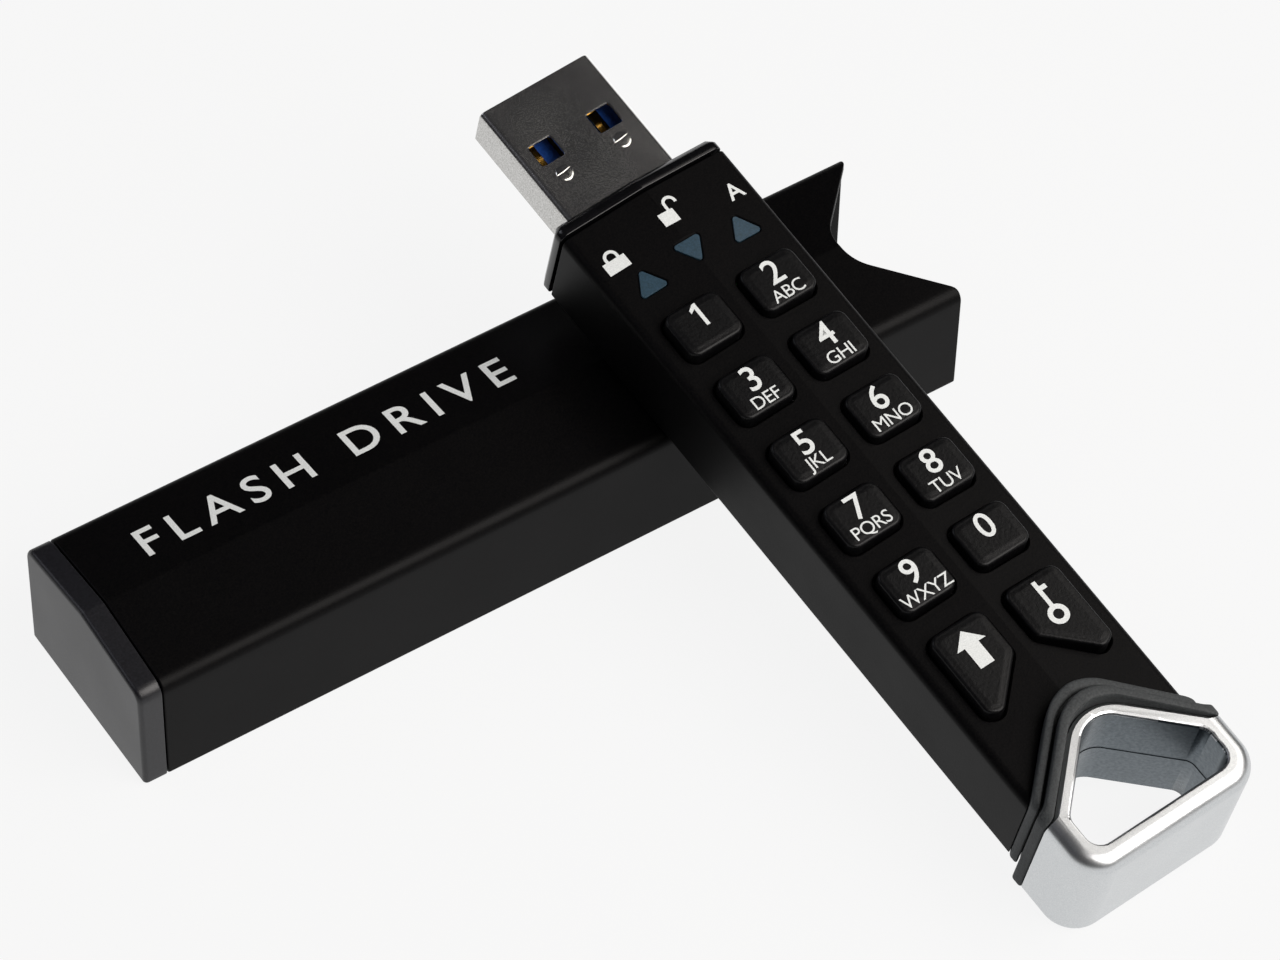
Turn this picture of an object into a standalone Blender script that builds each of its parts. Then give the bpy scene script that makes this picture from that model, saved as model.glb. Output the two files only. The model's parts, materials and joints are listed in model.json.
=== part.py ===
"""Keypad USB flash drive leaning on its extruded sleeve, as an assembly of separate parts.

Units are metres. World +Z is up, and the sleeve lies along +X with its base on Z = 0.
The drive has axes of its own, held by empties: x from the plug to the key loop, y across
the keypad and z out of the keypad. Its x = 0 is the bezel's front, and z = 0 the flat base.
"""

import math

import bmesh
import bpy
from mathutils import Matrix, Vector

MM = 0.001

# Drive shell: an extruded tube with a shallow roof and a V-shaped rear end.
DRIVE_WIDTH = 17.9 * MM
DRIVE_SIDE_HEIGHT = 9.3 * MM
DRIVE_ROOF_RISE = 0.6 * MM
DRIVE_EDGE_RADIUS = 0.9 * MM
DRIVE_BASE_RADIUS = 0.4 * MM
SHELL_WALL = 0.9 * MM
SHELL_REAR = 67.4 * MM
VEE_SLOPE = 0.94
VEE_APEX_RADIUS = 4.6 * MM
VEE_FOOT_RADIUS = 1.2 * MM

# Gaps: between fixed neighbours, and around a key or a light window.
SEAM = 0.3 * MM
FINE_GAP = 0.2 * MM
CONTACT_GAP = 0.1 * MM

# Front bezel and USB type A plug.
BEZEL_RIM = 1.4 * MM
BEZEL_SPIGOT = 3.6 * MM
BEZEL_CHAMFER = 0.45 * MM
PLUG_WIDTH = 12.0 * MM
PLUG_HEIGHT = 4.5 * MM
PLUG_WALL = 0.3 * MM
PLUG_CORNER_RADIUS = 0.6 * MM
PLUG_EXPOSED = 14.1 * MM
PLUG_BURIED = 6.0 * MM
PLUG_MIDDLE_HEIGHT = 4.2 * MM
LATCH_LENGTH = 2.3 * MM
LATCH_WIDTH = 2.5 * MM
LATCH_SETBACK = 6.3 * MM
LATCH_SPREAD = 3.22 * MM
TONGUE_THICKNESS = 1.9 * MM
TONGUE_SETBACK = 0.5 * MM
FLAT_CONTACT = (6.0 * MM, 1.0 * MM, 0.25 * MM)
FLAT_CONTACT_ROWS = (-3.5 * MM, -1.0 * MM, 1.0 * MM, 3.5 * MM)
SPRING_CONTACT = (1.6 * MM, 0.7 * MM, 0.5 * MM)
SPRING_CONTACT_ROWS = (-4.0 * MM, -2.0 * MM, 0.0, 2.0 * MM, 4.0 * MM)
SPRING_CONTACT_CROWN = 0.3 * MM

# Keypad: two columns of keys, the last row cut to follow the V. The ribs and margins are
# the metal left round the openings, which fill the rest of the shell's length and width.
FULL_ROWS = 5
KEYPAD_FRONT = 12.9 * MM
KEY_ROW_RIB = 2.3 * MM
KEY_MIDDLE_RIB = 2.0 * MM
KEY_SIDE_MARGIN = 1.75 * MM
KEY_HOLE_RADIUS = 1.2 * MM
KEY_RISE = 0.8 * MM
KEY_TRAVEL = 0.5 * MM
KEY_FLANGE = 0.35 * MM
KEY_FLANGE_THICKNESS = 0.5 * MM
KEY_EDGE_RADIUS = 0.35 * MM
END_KEY_TO_VEE = 4.4 * MM
END_KEY_REACH = 4.19 * MM
END_KEY_NOSE_WIDTH = 1.6 * MM
END_KEY_NOSE_LENGTH = 0.8 * MM
END_KEY_NOSE_RADIUS = 1.1 * MM

# Light windows between the bezel and the first key row.
WINDOW_MIDDLE = 8.9 * MM
WINDOW_LENGTH = 2.5 * MM
WINDOW_WIDTH = 3.0 * MM
WINDOW_RADIUS = 0.35 * MM
WINDOW_SIDE_MARGIN = 3.75 * MM

# Electronics inside the shell.
BOARD_HEIGHT_SHARE = 0.43
BOARD_THICKNESS = 1.0 * MM
BOARD_SIDE_GAP = 0.45 * MM
MEMORY_CHIP = (12.0 * MM, 9.0 * MM, 1.1 * MM)
MEMORY_SETBACK = 6.0 * MM
MEMORY_GAP = 2.0 * MM
CONTROLLER_CHIP = (8.0 * MM, 8.0 * MM, 0.7 * MM)
CRYSTAL = (3.2 * MM, 2.5 * MM, 0.7 * MM)
LIGHT_CHIP = (1.6 * MM, 0.8 * MM, 0.6 * MM)
BATTERY_WIDTH = 11.0 * MM
BATTERY_CHIP_GAP = 5.7 * MM
BATTERY_REAR_GAP = 1.0 * MM
BATTERY_FLOOR_GAP = 0.6 * MM
MAT_THICKNESS = 0.5 * MM
MAT_BUTTON_RADIUS = 1.6 * MM

# Gasket between shell and loop, in steps along the V.
GASKET_RIB = 0.8 * MM
GASKET_NECK = 0.35 * MM
GASKET_FLANGE = 1.05 * MM
GASKET_NECK_INSET = 0.7 * MM

# Cast key loop.
LOOP_LENGTH = 6.2 * MM
LOOP_CORNER_RADIUS = 3.2 * MM
LOOP_SIDE_WALL = 2.2 * MM
LOOP_REAR_WALL = 2.2 * MM
LOOP_FRONT_WALL = 1.75 * MM
LOOP_EDGE_RADIUS = 1.1 * MM
LOOP_HOLE_RADIUS = 1.4 * MM
SPIGOT_WIDTH = 10.0 * MM
SPIGOT_HEIGHT = 5.0 * MM
SPIGOT_BASE = 1.6 * MM

# Sleeve: an extruded tube with a plastic cap in its closed end.
SLIDE_GAP = 0.2 * MM
SLEEVE_SIDE_WALL = 0.6 * MM
SLEEVE_FLOOR = 0.8 * MM
SLEEVE_EDGE_RADIUS = 1.3 * MM
SLEEVE_BASE_RADIUS = 0.4 * MM
HEADROOM_SIDE = 1.3 * MM
HEADROOM_RIDGE = 2.0 * MM
CAP_DEPTH = 2.4 * MM
CAP_END_WALL = 1.6 * MM
CAP_SPIGOT = 2.2 * MM
PLUG_TIP_ROOM = 0.6 * MM

# How the drive lies: across the sleeve's near shoulder, with its loop end on the table.
CROSS_ANGLE = math.radians(-85.2)
CROSS_PLACE = 19.8 * MM
OVERHANG = 18.6 * MM

# Sizes that follow from the ones above.
PLUG_BASE = PLUG_MIDDLE_HEIGHT - PLUG_HEIGHT / 2
SHELL_FRONT = BEZEL_RIM + SEAM
DRIVE_RIDGE_HEIGHT = DRIVE_SIDE_HEIGHT + DRIVE_ROOF_RISE
VEE_HALF_WIDTH = DRIVE_WIDTH / 2
VEE_APEX = SHELL_REAR - VEE_SLOPE * VEE_HALF_WIDTH
GASKET_FRONT = SHELL_REAR + SEAM
FLANGE_FRONT = GASKET_FRONT + GASKET_RIB + GASKET_NECK
GASKET_REAR = FLANGE_FRONT + GASKET_FLANGE
LOOP_FRONT = GASKET_REAR + SEAM
LOOP_REAR = LOOP_FRONT + LOOP_LENGTH
END_ROW_FRONT = VEE_APEX - END_KEY_TO_VEE - END_KEY_REACH
KEY_PITCH = (END_ROW_FRONT - KEYPAD_FRONT) / FULL_ROWS
KEY_HOLE_LENGTH = KEY_PITCH - KEY_ROW_RIB
KEY_HOLE_WIDTH = (DRIVE_WIDTH - KEY_MIDDLE_RIB) / 2 - KEY_SIDE_MARGIN
KEY_COLUMN = (KEY_MIDDLE_RIB + KEY_HOLE_WIDTH) / 2
KEY_FIRST_ROW = KEYPAD_FRONT + KEY_HOLE_LENGTH / 2
WINDOW_SPREAD = DRIVE_WIDTH / 2 - WINDOW_SIDE_MARGIN
BORE_WIDTH = DRIVE_WIDTH + 2 * SLIDE_GAP
BORE_SIDE_HEIGHT = DRIVE_SIDE_HEIGHT + HEADROOM_SIDE
BORE_RIDGE_HEIGHT = DRIVE_RIDGE_HEIGHT + HEADROOM_RIDGE
SLEEVE_WIDTH = BORE_WIDTH + 2 * SLEEVE_SIDE_WALL
SLEEVE_SIDE_HEIGHT = BORE_SIDE_HEIGHT + SLIDE_GAP + 2 * SLEEVE_FLOOR
SLEEVE_RIDGE_HEIGHT = BORE_RIDGE_HEIGHT + SLIDE_GAP + 2 * SLEEVE_FLOOR
SLEEVE_LENGTH = CAP_END_WALL + PLUG_TIP_ROOM + PLUG_EXPOSED + FLANGE_FRONT
DRIVE_LIFT_IN_BORE = SLEEVE_FLOOR + SLIDE_GAP
KEY_TOP = DRIVE_RIDGE_HEIGHT + KEY_RISE
KEY_FLANGE_TOP = DRIVE_SIDE_HEIGHT - SHELL_WALL - SEAM
KEY_BOTTOM = KEY_FLANGE_TOP - KEY_FLANGE_THICKNESS
MAT_TOP = KEY_BOTTOM - KEY_TRAVEL - CONTACT_GAP
BOARD_FRONT = PLUG_BURIED + SEAM
BOARD_REAR = VEE_APEX
BOARD_MIDDLE_HEIGHT = BOARD_HEIGHT_SHARE * DRIVE_SIDE_HEIGHT
BOARD_TOP = BOARD_MIDDLE_HEIGHT + BOARD_THICKNESS / 2
BOARD_UNDERSIDE = BOARD_MIDDLE_HEIGHT - BOARD_THICKNESS / 2
MAT_BOTTOM = BOARD_TOP + CONTROLLER_CHIP[2] + 2 * FINE_GAP
WHOLE_HEIGHT = 3 * SLEEVE_RIDGE_HEIGHT

# Turns an outline drawn in (across, up) and pulled forward into one that runs along x.
ALONG_X = Matrix(((0, 0, 1, 0), (1, 0, 0, 0), (0, 1, 0, 0), (0, 0, 0, 1)))


def clear_scene():
    for item in list(bpy.data.objects):
        bpy.data.objects.remove(item)


def make_collection(name):
    collection = bpy.data.collections.new(name)
    bpy.context.scene.collection.children.link(collection)
    return collection


def finish(name, colour, roughness, metallic=0.0):
    """Principled material with the part's own colour."""
    material = bpy.data.materials.new(name)
    material.use_nodes = True
    shader = material.node_tree.nodes["Principled BSDF"]
    shader.inputs["Base Color"].default_value = (*colour, 1.0)
    shader.inputs["Roughness"].default_value = roughness
    shader.inputs["Metallic"].default_value = metallic
    return material


def rounded(corners, steps=4):
    """Closed outline in which each corner (u, v, radius) becomes an arc touching both its edges."""
    outline = []
    for index, (u, v, radius) in enumerate(corners):
        corner = Vector((u, v))
        if radius == 0:
            outline.append(corner)
            continue
        before = (Vector(corners[index - 1][:2]) - corner).normalized()
        after = (Vector(corners[(index + 1) % len(corners)][:2]) - corner).normalized()
        half_angle = before.angle(after) / 2
        centre = corner + (before + after).normalized() * radius / math.sin(half_angle)
        reach = radius / math.tan(half_angle)
        start = corner + before * reach - centre
        end = corner + after * reach - centre
        first = math.atan2(start.y, start.x)
        sweep = math.remainder(math.atan2(end.y, end.x) - first, 2 * math.pi)
        for step in range(steps + 1):
            angle = first + sweep * step / steps
            outline.append(centre + Vector((math.cos(angle), math.sin(angle))) * radius)
    return outline


def rectangle(length, width, radius=0.0, middle=(0.0, 0.0)):
    """Corners of a rectangle centred on middle."""
    u, v = middle
    a, b = length / 2, width / 2
    return [(u - a, v - b, radius), (u + a, v - b, radius), (u + a, v + b, radius), (u - a, v + b, radius)]


def roof_profile(width, base, side_height, ridge_height, radius, base_radius):
    """Corners of a flat-based section with a shallow roof, in (across, up)."""
    half = width / 2
    return [
        (-half, base, base_radius),
        (half, base, base_radius),
        (half, side_height, radius),
        (0.0, ridge_height, radius),
        (-half, side_height, radius),
    ]


def vee(x, half_reach):
    """Corners of the V seen from above, apex towards the plug, from one side to the other."""
    return [
        (x, -half_reach, 0.0),
        (x, -VEE_HALF_WIDTH, VEE_FOOT_RADIUS),
        (x + VEE_APEX - SHELL_REAR, 0.0, VEE_APEX_RADIUS),
        (x, VEE_HALF_WIDTH, VEE_FOOT_RADIUS),
        (x, half_reach, 0.0),
    ]


def weld_and_orient(mesh):
    """Closes a filled curve's caps and points all faces outwards."""
    shape = bmesh.new()
    shape.from_mesh(mesh)
    bmesh.ops.remove_doubles(shape, verts=shape.verts, dist=0.00001)
    bmesh.ops.recalc_face_normals(shape, faces=shape.faces)
    shape.to_mesh(mesh)
    shape.free()


def prism(name, outlines, low, high):
    """Upright solid between two heights; the outlines after the first are holes."""
    curve = bpy.data.curves.new(name, "CURVE")
    curve.dimensions = "2D"
    curve.fill_mode = "BOTH"
    curve.extrude = (high - low) / 2
    for outline in outlines:
        spline = curve.splines.new("POLY")
        spline.points.add(len(outline) - 1)
        for point, (u, v) in zip(spline.points, outline):
            point.co = (u, v, 0.0, 1.0)
        spline.use_cyclic_u = True
    drawn = bpy.data.objects.new(name, curve)
    bpy.context.scene.collection.objects.link(drawn)
    bpy.context.view_layer.update()
    evaluated = drawn.evaluated_get(bpy.context.evaluated_depsgraph_get())
    mesh = bpy.data.meshes.new_from_object(evaluated)
    bpy.data.objects.remove(drawn)
    bpy.data.curves.remove(curve)
    weld_and_orient(mesh)
    mesh.transform(Matrix.Translation((0.0, 0.0, (low + high) / 2)))
    return link(name, mesh)


def bar(name, outlines, rear, front):
    """Solid with an (across, up) section that runs along x."""
    solid = prism(name, outlines, rear, front)
    solid.data.transform(ALONG_X)
    return solid


def block(name, size, middle, low):
    """Rectangular block of (length, width, height) standing at height low."""
    length, width, height = size
    bpy.ops.mesh.primitive_cube_add(size=1.0)
    solid = bpy.context.object
    solid.name = name
    place = Matrix.Translation((middle[0], middle[1], low + height / 2))
    solid.data.transform(place @ Matrix.Diagonal((length, width, height, 1.0)))
    return solid


def link(name, mesh):
    solid = bpy.data.objects.new(name, mesh)
    bpy.context.scene.collection.objects.link(solid)
    return solid


def combine(solid, tool, operation):
    """Boolean of two solids, kept in the first; the tool is used up."""
    modifier = solid.modifiers.new(operation.lower(), "BOOLEAN")
    modifier.operation = operation
    modifier.object = tool
    bpy.context.view_layer.update()
    evaluated = solid.evaluated_get(bpy.context.evaluated_depsgraph_get())
    mesh = bpy.data.meshes.new_from_object(evaluated)
    solid.modifiers.clear()
    solid.data = mesh
    bpy.data.objects.remove(tool)
    return solid


def cut(solid, tool):
    return combine(solid, tool, "DIFFERENCE")


def join(solid, tool):
    return combine(solid, tool, "UNION")


def keep_inside(solid, tool):
    return combine(solid, tool, "INTERSECT")


def round_edges(solid, radius, segments, is_rounded):
    """Rounds the edges whose two ends both pass the test."""
    shape = bmesh.new()
    shape.from_mesh(solid.data)
    edges = [edge for edge in shape.edges if all(is_rounded(vert.co) for vert in edge.verts)]
    sharp = [edge for edge in edges if edge.calc_face_angle(0.0) > math.radians(30)]
    bmesh.ops.bevel(shape, geom=sharp, offset=radius, segments=segments, profile=0.5, affect="EDGES")
    shape.to_mesh(solid.data)
    shape.free()
    return solid


def near(value, target):
    return abs(value - target) < 0.00001


def roof_height(y):
    """Height of the shell's top above its base, at a distance y from the ridge."""
    return DRIVE_RIDGE_HEIGHT - (DRIVE_RIDGE_HEIGHT - DRIVE_SIDE_HEIGHT) * abs(y) / (DRIVE_WIDTH / 2)


def key_outline(grow):
    """Outline of an oblong key about its own place, grown all round."""
    length = KEY_HOLE_LENGTH + 2 * grow
    width = KEY_HOLE_WIDTH + 2 * grow
    return rounded(rectangle(length, width, KEY_HOLE_RADIUS + grow))


def end_key_outline(side, grow):
    """Outline of an end key about its row's front middle: its rear slants along the V."""
    inner = KEY_MIDDLE_RIB / 2 - grow
    outer = KEY_MIDDLE_RIB / 2 + KEY_HOLE_WIDTH + grow
    nose = outer - END_KEY_NOSE_WIDTH - grow
    slant = END_KEY_REACH + grow
    radius = KEY_HOLE_RADIUS + grow
    nose_radius = END_KEY_NOSE_RADIUS + grow
    corners = [
        (-grow, inner, radius),
        (slant + VEE_SLOPE * inner, inner, radius),
        (slant + VEE_SLOPE * nose, nose, nose_radius),
        (slant + VEE_SLOPE * nose - END_KEY_NOSE_LENGTH, outer, nose_radius),
        (-grow, outer, radius),
    ]
    return [Vector((u, side * (v - KEY_COLUMN))) for u, v in rounded(corners)]


def key_places():
    """Name, x and side of the ridge of each key, from the plug end to the loop."""
    places = []
    for index, digit in enumerate("1234567890"):
        row, column = divmod(index, 2)
        places.append(("key_" + digit, KEY_FIRST_ROW + KEY_PITCH * row, 1 if column else -1))
    places.append(("key_arrow", END_ROW_FRONT, -1))
    places.append(("key_unlock", END_ROW_FRONT, 1))
    return places


def outline_of(x, side, grow):
    """Outline of the key at x, about its own place, grown all round."""
    if x == END_ROW_FRONT:
        return end_key_outline(side, grow)
    return key_outline(grow)


def window_outline(direction, grow):
    """Triangle whose apex points along x in the given direction."""
    apex = direction * (WINDOW_LENGTH / 2 + 2 * grow)
    base = -direction * (WINDOW_LENGTH / 2 + grow)
    half = WINDOW_WIDTH / 2 + 1.5 * grow
    return rounded([(apex, 0.0, WINDOW_RADIUS), (base, half, WINDOW_RADIUS), (base, -half, WINDOW_RADIUS)], 3)


def window_places():
    """Name, y and apex direction of each light window."""
    return [("red", -WINDOW_SPREAD, -1), ("green", 0.0, 1), ("blue", WINDOW_SPREAD, -1)]


def shifted(outline, x, y):
    return [point + Vector((x, y)) for point in outline]


def drive_profile(inset, edge_radius, base_radius):
    """The shell's section, or one that stands inside it by an inset."""
    return roof_profile(
        DRIVE_WIDTH - 2 * inset,
        inset,
        DRIVE_SIDE_HEIGHT - inset,
        DRIVE_RIDGE_HEIGHT - inset,
        edge_radius,
        base_radius,
    )


def make_drive_shell():
    outer = rounded(drive_profile(0.0, DRIVE_EDGE_RADIUS, DRIVE_BASE_RADIUS))
    inner = rounded(drive_profile(SHELL_WALL, DRIVE_EDGE_RADIUS / 2, DRIVE_BASE_RADIUS), 2)
    shell = bar("drive_shell", [outer, inner], SHELL_FRONT, SHELL_REAR)
    behind = vee(SHELL_REAR, DRIVE_WIDTH)
    behind += [(LOOP_REAR, DRIVE_WIDTH, 0.0), (LOOP_REAR, -DRIVE_WIDTH, 0.0)]
    cut(shell, prism("vee_cutter", [rounded(behind, 8)], -WHOLE_HEIGHT, WHOLE_HEIGHT))
    above_roof = DRIVE_RIDGE_HEIGHT + SHELL_WALL
    for name, x, side in key_places():
        hole = shifted(outline_of(x, side, 0.0), x, side * KEY_COLUMN)
        cut(shell, prism(name + "_cutter", [hole], DRIVE_SIDE_HEIGHT / 2, above_roof))
    for name, y, direction in window_places():
        hole = shifted(window_outline(direction, 0.0), WINDOW_MIDDLE, y)
        cut(shell, prism(name + "_cutter", [hole], DRIVE_SIDE_HEIGHT / 2, above_roof))
    return shell


def make_front_bezel():
    """Plastic nose plate with a spigot inside the shell and a slot for the plug."""
    outline = rounded(drive_profile(0.0, DRIVE_EDGE_RADIUS, DRIVE_BASE_RADIUS))
    plate = bar("front_bezel", [outline], 0.0, BEZEL_RIM)
    round_edges(plate, BEZEL_CHAMFER, 2, lambda place: near(place.x, 0.0))
    spigot = rounded(drive_profile(SHELL_WALL + SEAM, DRIVE_EDGE_RADIUS / 2, DRIVE_BASE_RADIUS), 2)
    join(plate, bar("spigot", [spigot], BEZEL_RIM / 2, BEZEL_RIM + BEZEL_SPIGOT))
    slot = rectangle(
        PLUG_WIDTH + 2 * FINE_GAP,
        PLUG_HEIGHT + 2 * FINE_GAP,
        PLUG_CORNER_RADIUS + FINE_GAP,
        (0.0, PLUG_MIDDLE_HEIGHT),
    )
    cut(plate, bar("slot_cutter", [rounded(slot)], -PLUG_EXPOSED, DRIVE_WIDTH))
    return plate


def make_plug_shell():
    """Folded steel tube with two latch windows in each broad face."""
    outer = rectangle(PLUG_WIDTH, PLUG_HEIGHT, PLUG_CORNER_RADIUS, (0.0, PLUG_MIDDLE_HEIGHT))
    inner = rectangle(
        PLUG_WIDTH - 2 * PLUG_WALL,
        PLUG_HEIGHT - 2 * PLUG_WALL,
        PLUG_CORNER_RADIUS - PLUG_WALL,
        (0.0, PLUG_MIDDLE_HEIGHT),
    )
    tube = bar("plug_shell", [rounded(outer), rounded(inner)], -PLUG_EXPOSED, PLUG_BURIED)
    middle = -PLUG_EXPOSED + LATCH_SETBACK
    for side in (-1, 1):
        window = rounded(rectangle(LATCH_LENGTH, LATCH_WIDTH, PLUG_WALL, (middle, side * LATCH_SPREAD)), 2)
        cut(tube, prism("latch_cutter", [window], -WHOLE_HEIGHT, WHOLE_HEIGHT))
    return tube


def make_plug_tongue():
    """Blue insulator in the lower half of the plug, with a full-height block behind it."""
    inner_width = PLUG_WIDTH - 2 * PLUG_WALL - 2 * CONTACT_GAP
    base = PLUG_BASE + PLUG_WALL + CONTACT_GAP
    length = PLUG_EXPOSED - TONGUE_SETBACK + PLUG_BURIED - SEAM
    middle = (PLUG_BURIED - SEAM) - length / 2
    tongue = block("plug_tongue", (length, inner_width, TONGUE_THICKNESS), (middle, 0.0), base)
    rear_height = PLUG_HEIGHT - 2 * PLUG_WALL - 2 * CONTACT_GAP
    rear_length = PLUG_BURIED - SEAM + BEZEL_RIM
    rear_middle = (PLUG_BURIED - SEAM) - rear_length / 2
    join(tongue, block("tongue_block", (rear_length, inner_width, rear_height), (rear_middle, 0.0), base))
    return tongue


def make_contacts():
    """Four flat contacts at the tip and five sprung ones behind them, on the tongue."""
    top = PLUG_BASE + PLUG_WALL + CONTACT_GAP + TONGUE_THICKNESS + CONTACT_GAP
    flat_middle = -PLUG_EXPOSED + 2 * TONGUE_SETBACK + FLAT_CONTACT[0] / 2
    spring_middle = flat_middle + FLAT_CONTACT[0] / 2 + SPRING_CONTACT[0]
    contacts = []
    for index, y in enumerate(FLAT_CONTACT_ROWS, 1):
        contacts.append(block(f"flat_contact_{index}", FLAT_CONTACT, (flat_middle, y), top))
    for index, y in enumerate(SPRING_CONTACT_ROWS, 1):
        contact = block(f"spring_contact_{index}", SPRING_CONTACT, (spring_middle, y), top)
        crown = top + SPRING_CONTACT[2]
        round_edges(contact, SPRING_CONTACT_CROWN, 2, lambda place: near(place.z, crown))
        contacts.append(contact)
    return contacts


def make_circuit_board():
    length = BOARD_REAR - BOARD_FRONT
    width = DRIVE_WIDTH - 2 * (SHELL_WALL + BOARD_SIDE_GAP)
    size = (length, width, BOARD_THICKNESS)
    return block("circuit_board", size, (BOARD_FRONT + length / 2, 0.0), BOARD_UNDERSIDE)


def make_board_parts():
    """Chips, crystal, lights and battery on both faces of the board."""
    top = BOARD_TOP + CONTACT_GAP
    under = BOARD_UNDERSIDE - CONTACT_GAP
    front_chip_x = BOARD_FRONT + MEMORY_SETBACK + MEMORY_CHIP[0] / 2
    rear_chip_x = front_chip_x + MEMORY_CHIP[0] + MEMORY_GAP
    controller_x = KEY_FIRST_ROW + KEY_PITCH
    crystal_x = controller_x + CONTROLLER_CHIP[0]
    battery_front = rear_chip_x + MEMORY_CHIP[0] / 2 + BATTERY_CHIP_GAP
    battery_rear = BOARD_REAR - BATTERY_REAR_GAP
    battery_base = SHELL_WALL + BATTERY_FLOOR_GAP
    battery_size = (battery_rear - battery_front, BATTERY_WIDTH, under - battery_base)
    parts = [
        block("memory_chip_front", MEMORY_CHIP, (front_chip_x, 0.0), under - MEMORY_CHIP[2]),
        block("memory_chip_rear", MEMORY_CHIP, (rear_chip_x, 0.0), under - MEMORY_CHIP[2]),
        block("controller_chip", CONTROLLER_CHIP, (controller_x, 0.0), top),
        block("crystal", CRYSTAL, (crystal_x, 0.0), top),
        block("battery", battery_size, ((battery_front + battery_rear) / 2, 0.0), battery_base),
    ]
    for name, y, _ in window_places():
        parts.append(block("light_" + name, LIGHT_CHIP, (WINDOW_MIDDLE, y), top))
    return parts


def make_windows():
    """Light pipes, flush with the roof."""
    low = BOARD_TOP + LIGHT_CHIP[2] + 2 * CONTACT_GAP
    pipes = []
    for name, y, direction in window_places():
        outline = shifted(window_outline(direction, -FINE_GAP), WINDOW_MIDDLE, y)
        pipes.append(prism("window_" + name, [outline], low, roof_height(y) - CONTACT_GAP / 2))
    return pipes


def make_keypad_mat():
    """Rubber sheet under the keys, with a round button below each."""
    front = KEYPAD_FRONT - KEY_FLANGE
    width = DRIVE_WIDTH - 2 * (SHELL_WALL + BOARD_SIDE_GAP)
    size = (BOARD_REAR - front, width, MAT_THICKNESS)
    mat = block("keypad_mat", size, ((front + BOARD_REAR) / 2, 0.0), MAT_BOTTOM)
    button_height = MAT_TOP - MAT_BOTTOM
    for row in range(FULL_ROWS + 1):
        for side in (-1, 1):
            bpy.ops.mesh.primitive_cylinder_add(vertices=12, radius=MAT_BUTTON_RADIUS, depth=button_height)
            button = bpy.context.object
            middle = (KEY_FIRST_ROW + KEY_PITCH * row, side * KEY_COLUMN, MAT_BOTTOM + button_height / 2)
            button.data.transform(Matrix.Translation(middle))
            join(mat, button)
    return mat


def make_key(name, x, side):
    """Keycap: a rounded body through the shell and a wider flange that stays inside."""
    body = prism(name, [outline_of(x, side, -FINE_GAP)], KEY_BOTTOM, KEY_TOP)
    round_edges(body, KEY_EDGE_RADIUS, 2, lambda place: near(place.z, KEY_TOP))
    join(body, prism("flange", [outline_of(x, side, KEY_FLANGE)], KEY_BOTTOM, KEY_FLANGE_TOP))
    body.data.transform(Matrix.Translation((0.0, 0.0, -KEY_TOP)))
    body.location = (x, side * KEY_COLUMN, KEY_TOP)
    return body


def gasket_step(name, profile, front, rear):
    """One step of the gasket: a section that runs along x, trimmed to the V at both faces."""
    step = bar(name, [rounded(profile, 3)], front - 2 * DRIVE_WIDTH, rear)
    band = vee(front, SLEEVE_WIDTH) + list(reversed(vee(rear, SLEEVE_WIDTH)))
    return keep_inside(step, prism("band", [rounded(band, 8)], -WHOLE_HEIGHT, WHOLE_HEIGHT))


def make_rear_gasket():
    """Rubber seal in steps: a rib that enters the sleeve, a neck, and a flange that meets its mouth."""
    overlap = GASKET_NECK / 2
    rib_rear = GASKET_FRONT + GASKET_RIB
    rib = roof_profile(
        BORE_WIDTH - 2 * CONTACT_GAP,
        CONTACT_GAP - SLIDE_GAP,
        BORE_SIDE_HEIGHT - CONTACT_GAP,
        BORE_RIDGE_HEIGHT - CONTACT_GAP,
        DRIVE_EDGE_RADIUS,
        DRIVE_BASE_RADIUS,
    )
    neck = roof_profile(
        BORE_WIDTH - 2 * GASKET_NECK_INSET,
        GASKET_NECK_INSET - SLIDE_GAP,
        BORE_SIDE_HEIGHT - GASKET_NECK_INSET,
        BORE_RIDGE_HEIGHT - GASKET_NECK_INSET,
        DRIVE_EDGE_RADIUS,
        DRIVE_BASE_RADIUS,
    )
    flange = roof_profile(
        SLEEVE_WIDTH,
        -DRIVE_LIFT_IN_BORE,
        SLEEVE_SIDE_HEIGHT - DRIVE_LIFT_IN_BORE,
        SLEEVE_RIDGE_HEIGHT - DRIVE_LIFT_IN_BORE,
        SLEEVE_EDGE_RADIUS,
        SLEEVE_BASE_RADIUS,
    )
    gasket = gasket_step("rear_gasket", rib, GASKET_FRONT, rib_rear)
    join(gasket, gasket_step("neck", neck, rib_rear - overlap, FLANGE_FRONT + overlap))
    join(gasket, gasket_step("flange", flange, FLANGE_FRONT, GASKET_REAR))
    hole = rectangle(
        SPIGOT_WIDTH + 2 * SEAM,
        SPIGOT_HEIGHT + 2 * SEAM,
        0.0,
        (0.0, SPIGOT_BASE + SPIGOT_HEIGHT / 2),
    )
    cut(gasket, bar("spigot_cutter", [rounded(hole)], 0.0, LOOP_REAR))
    return gasket


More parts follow.
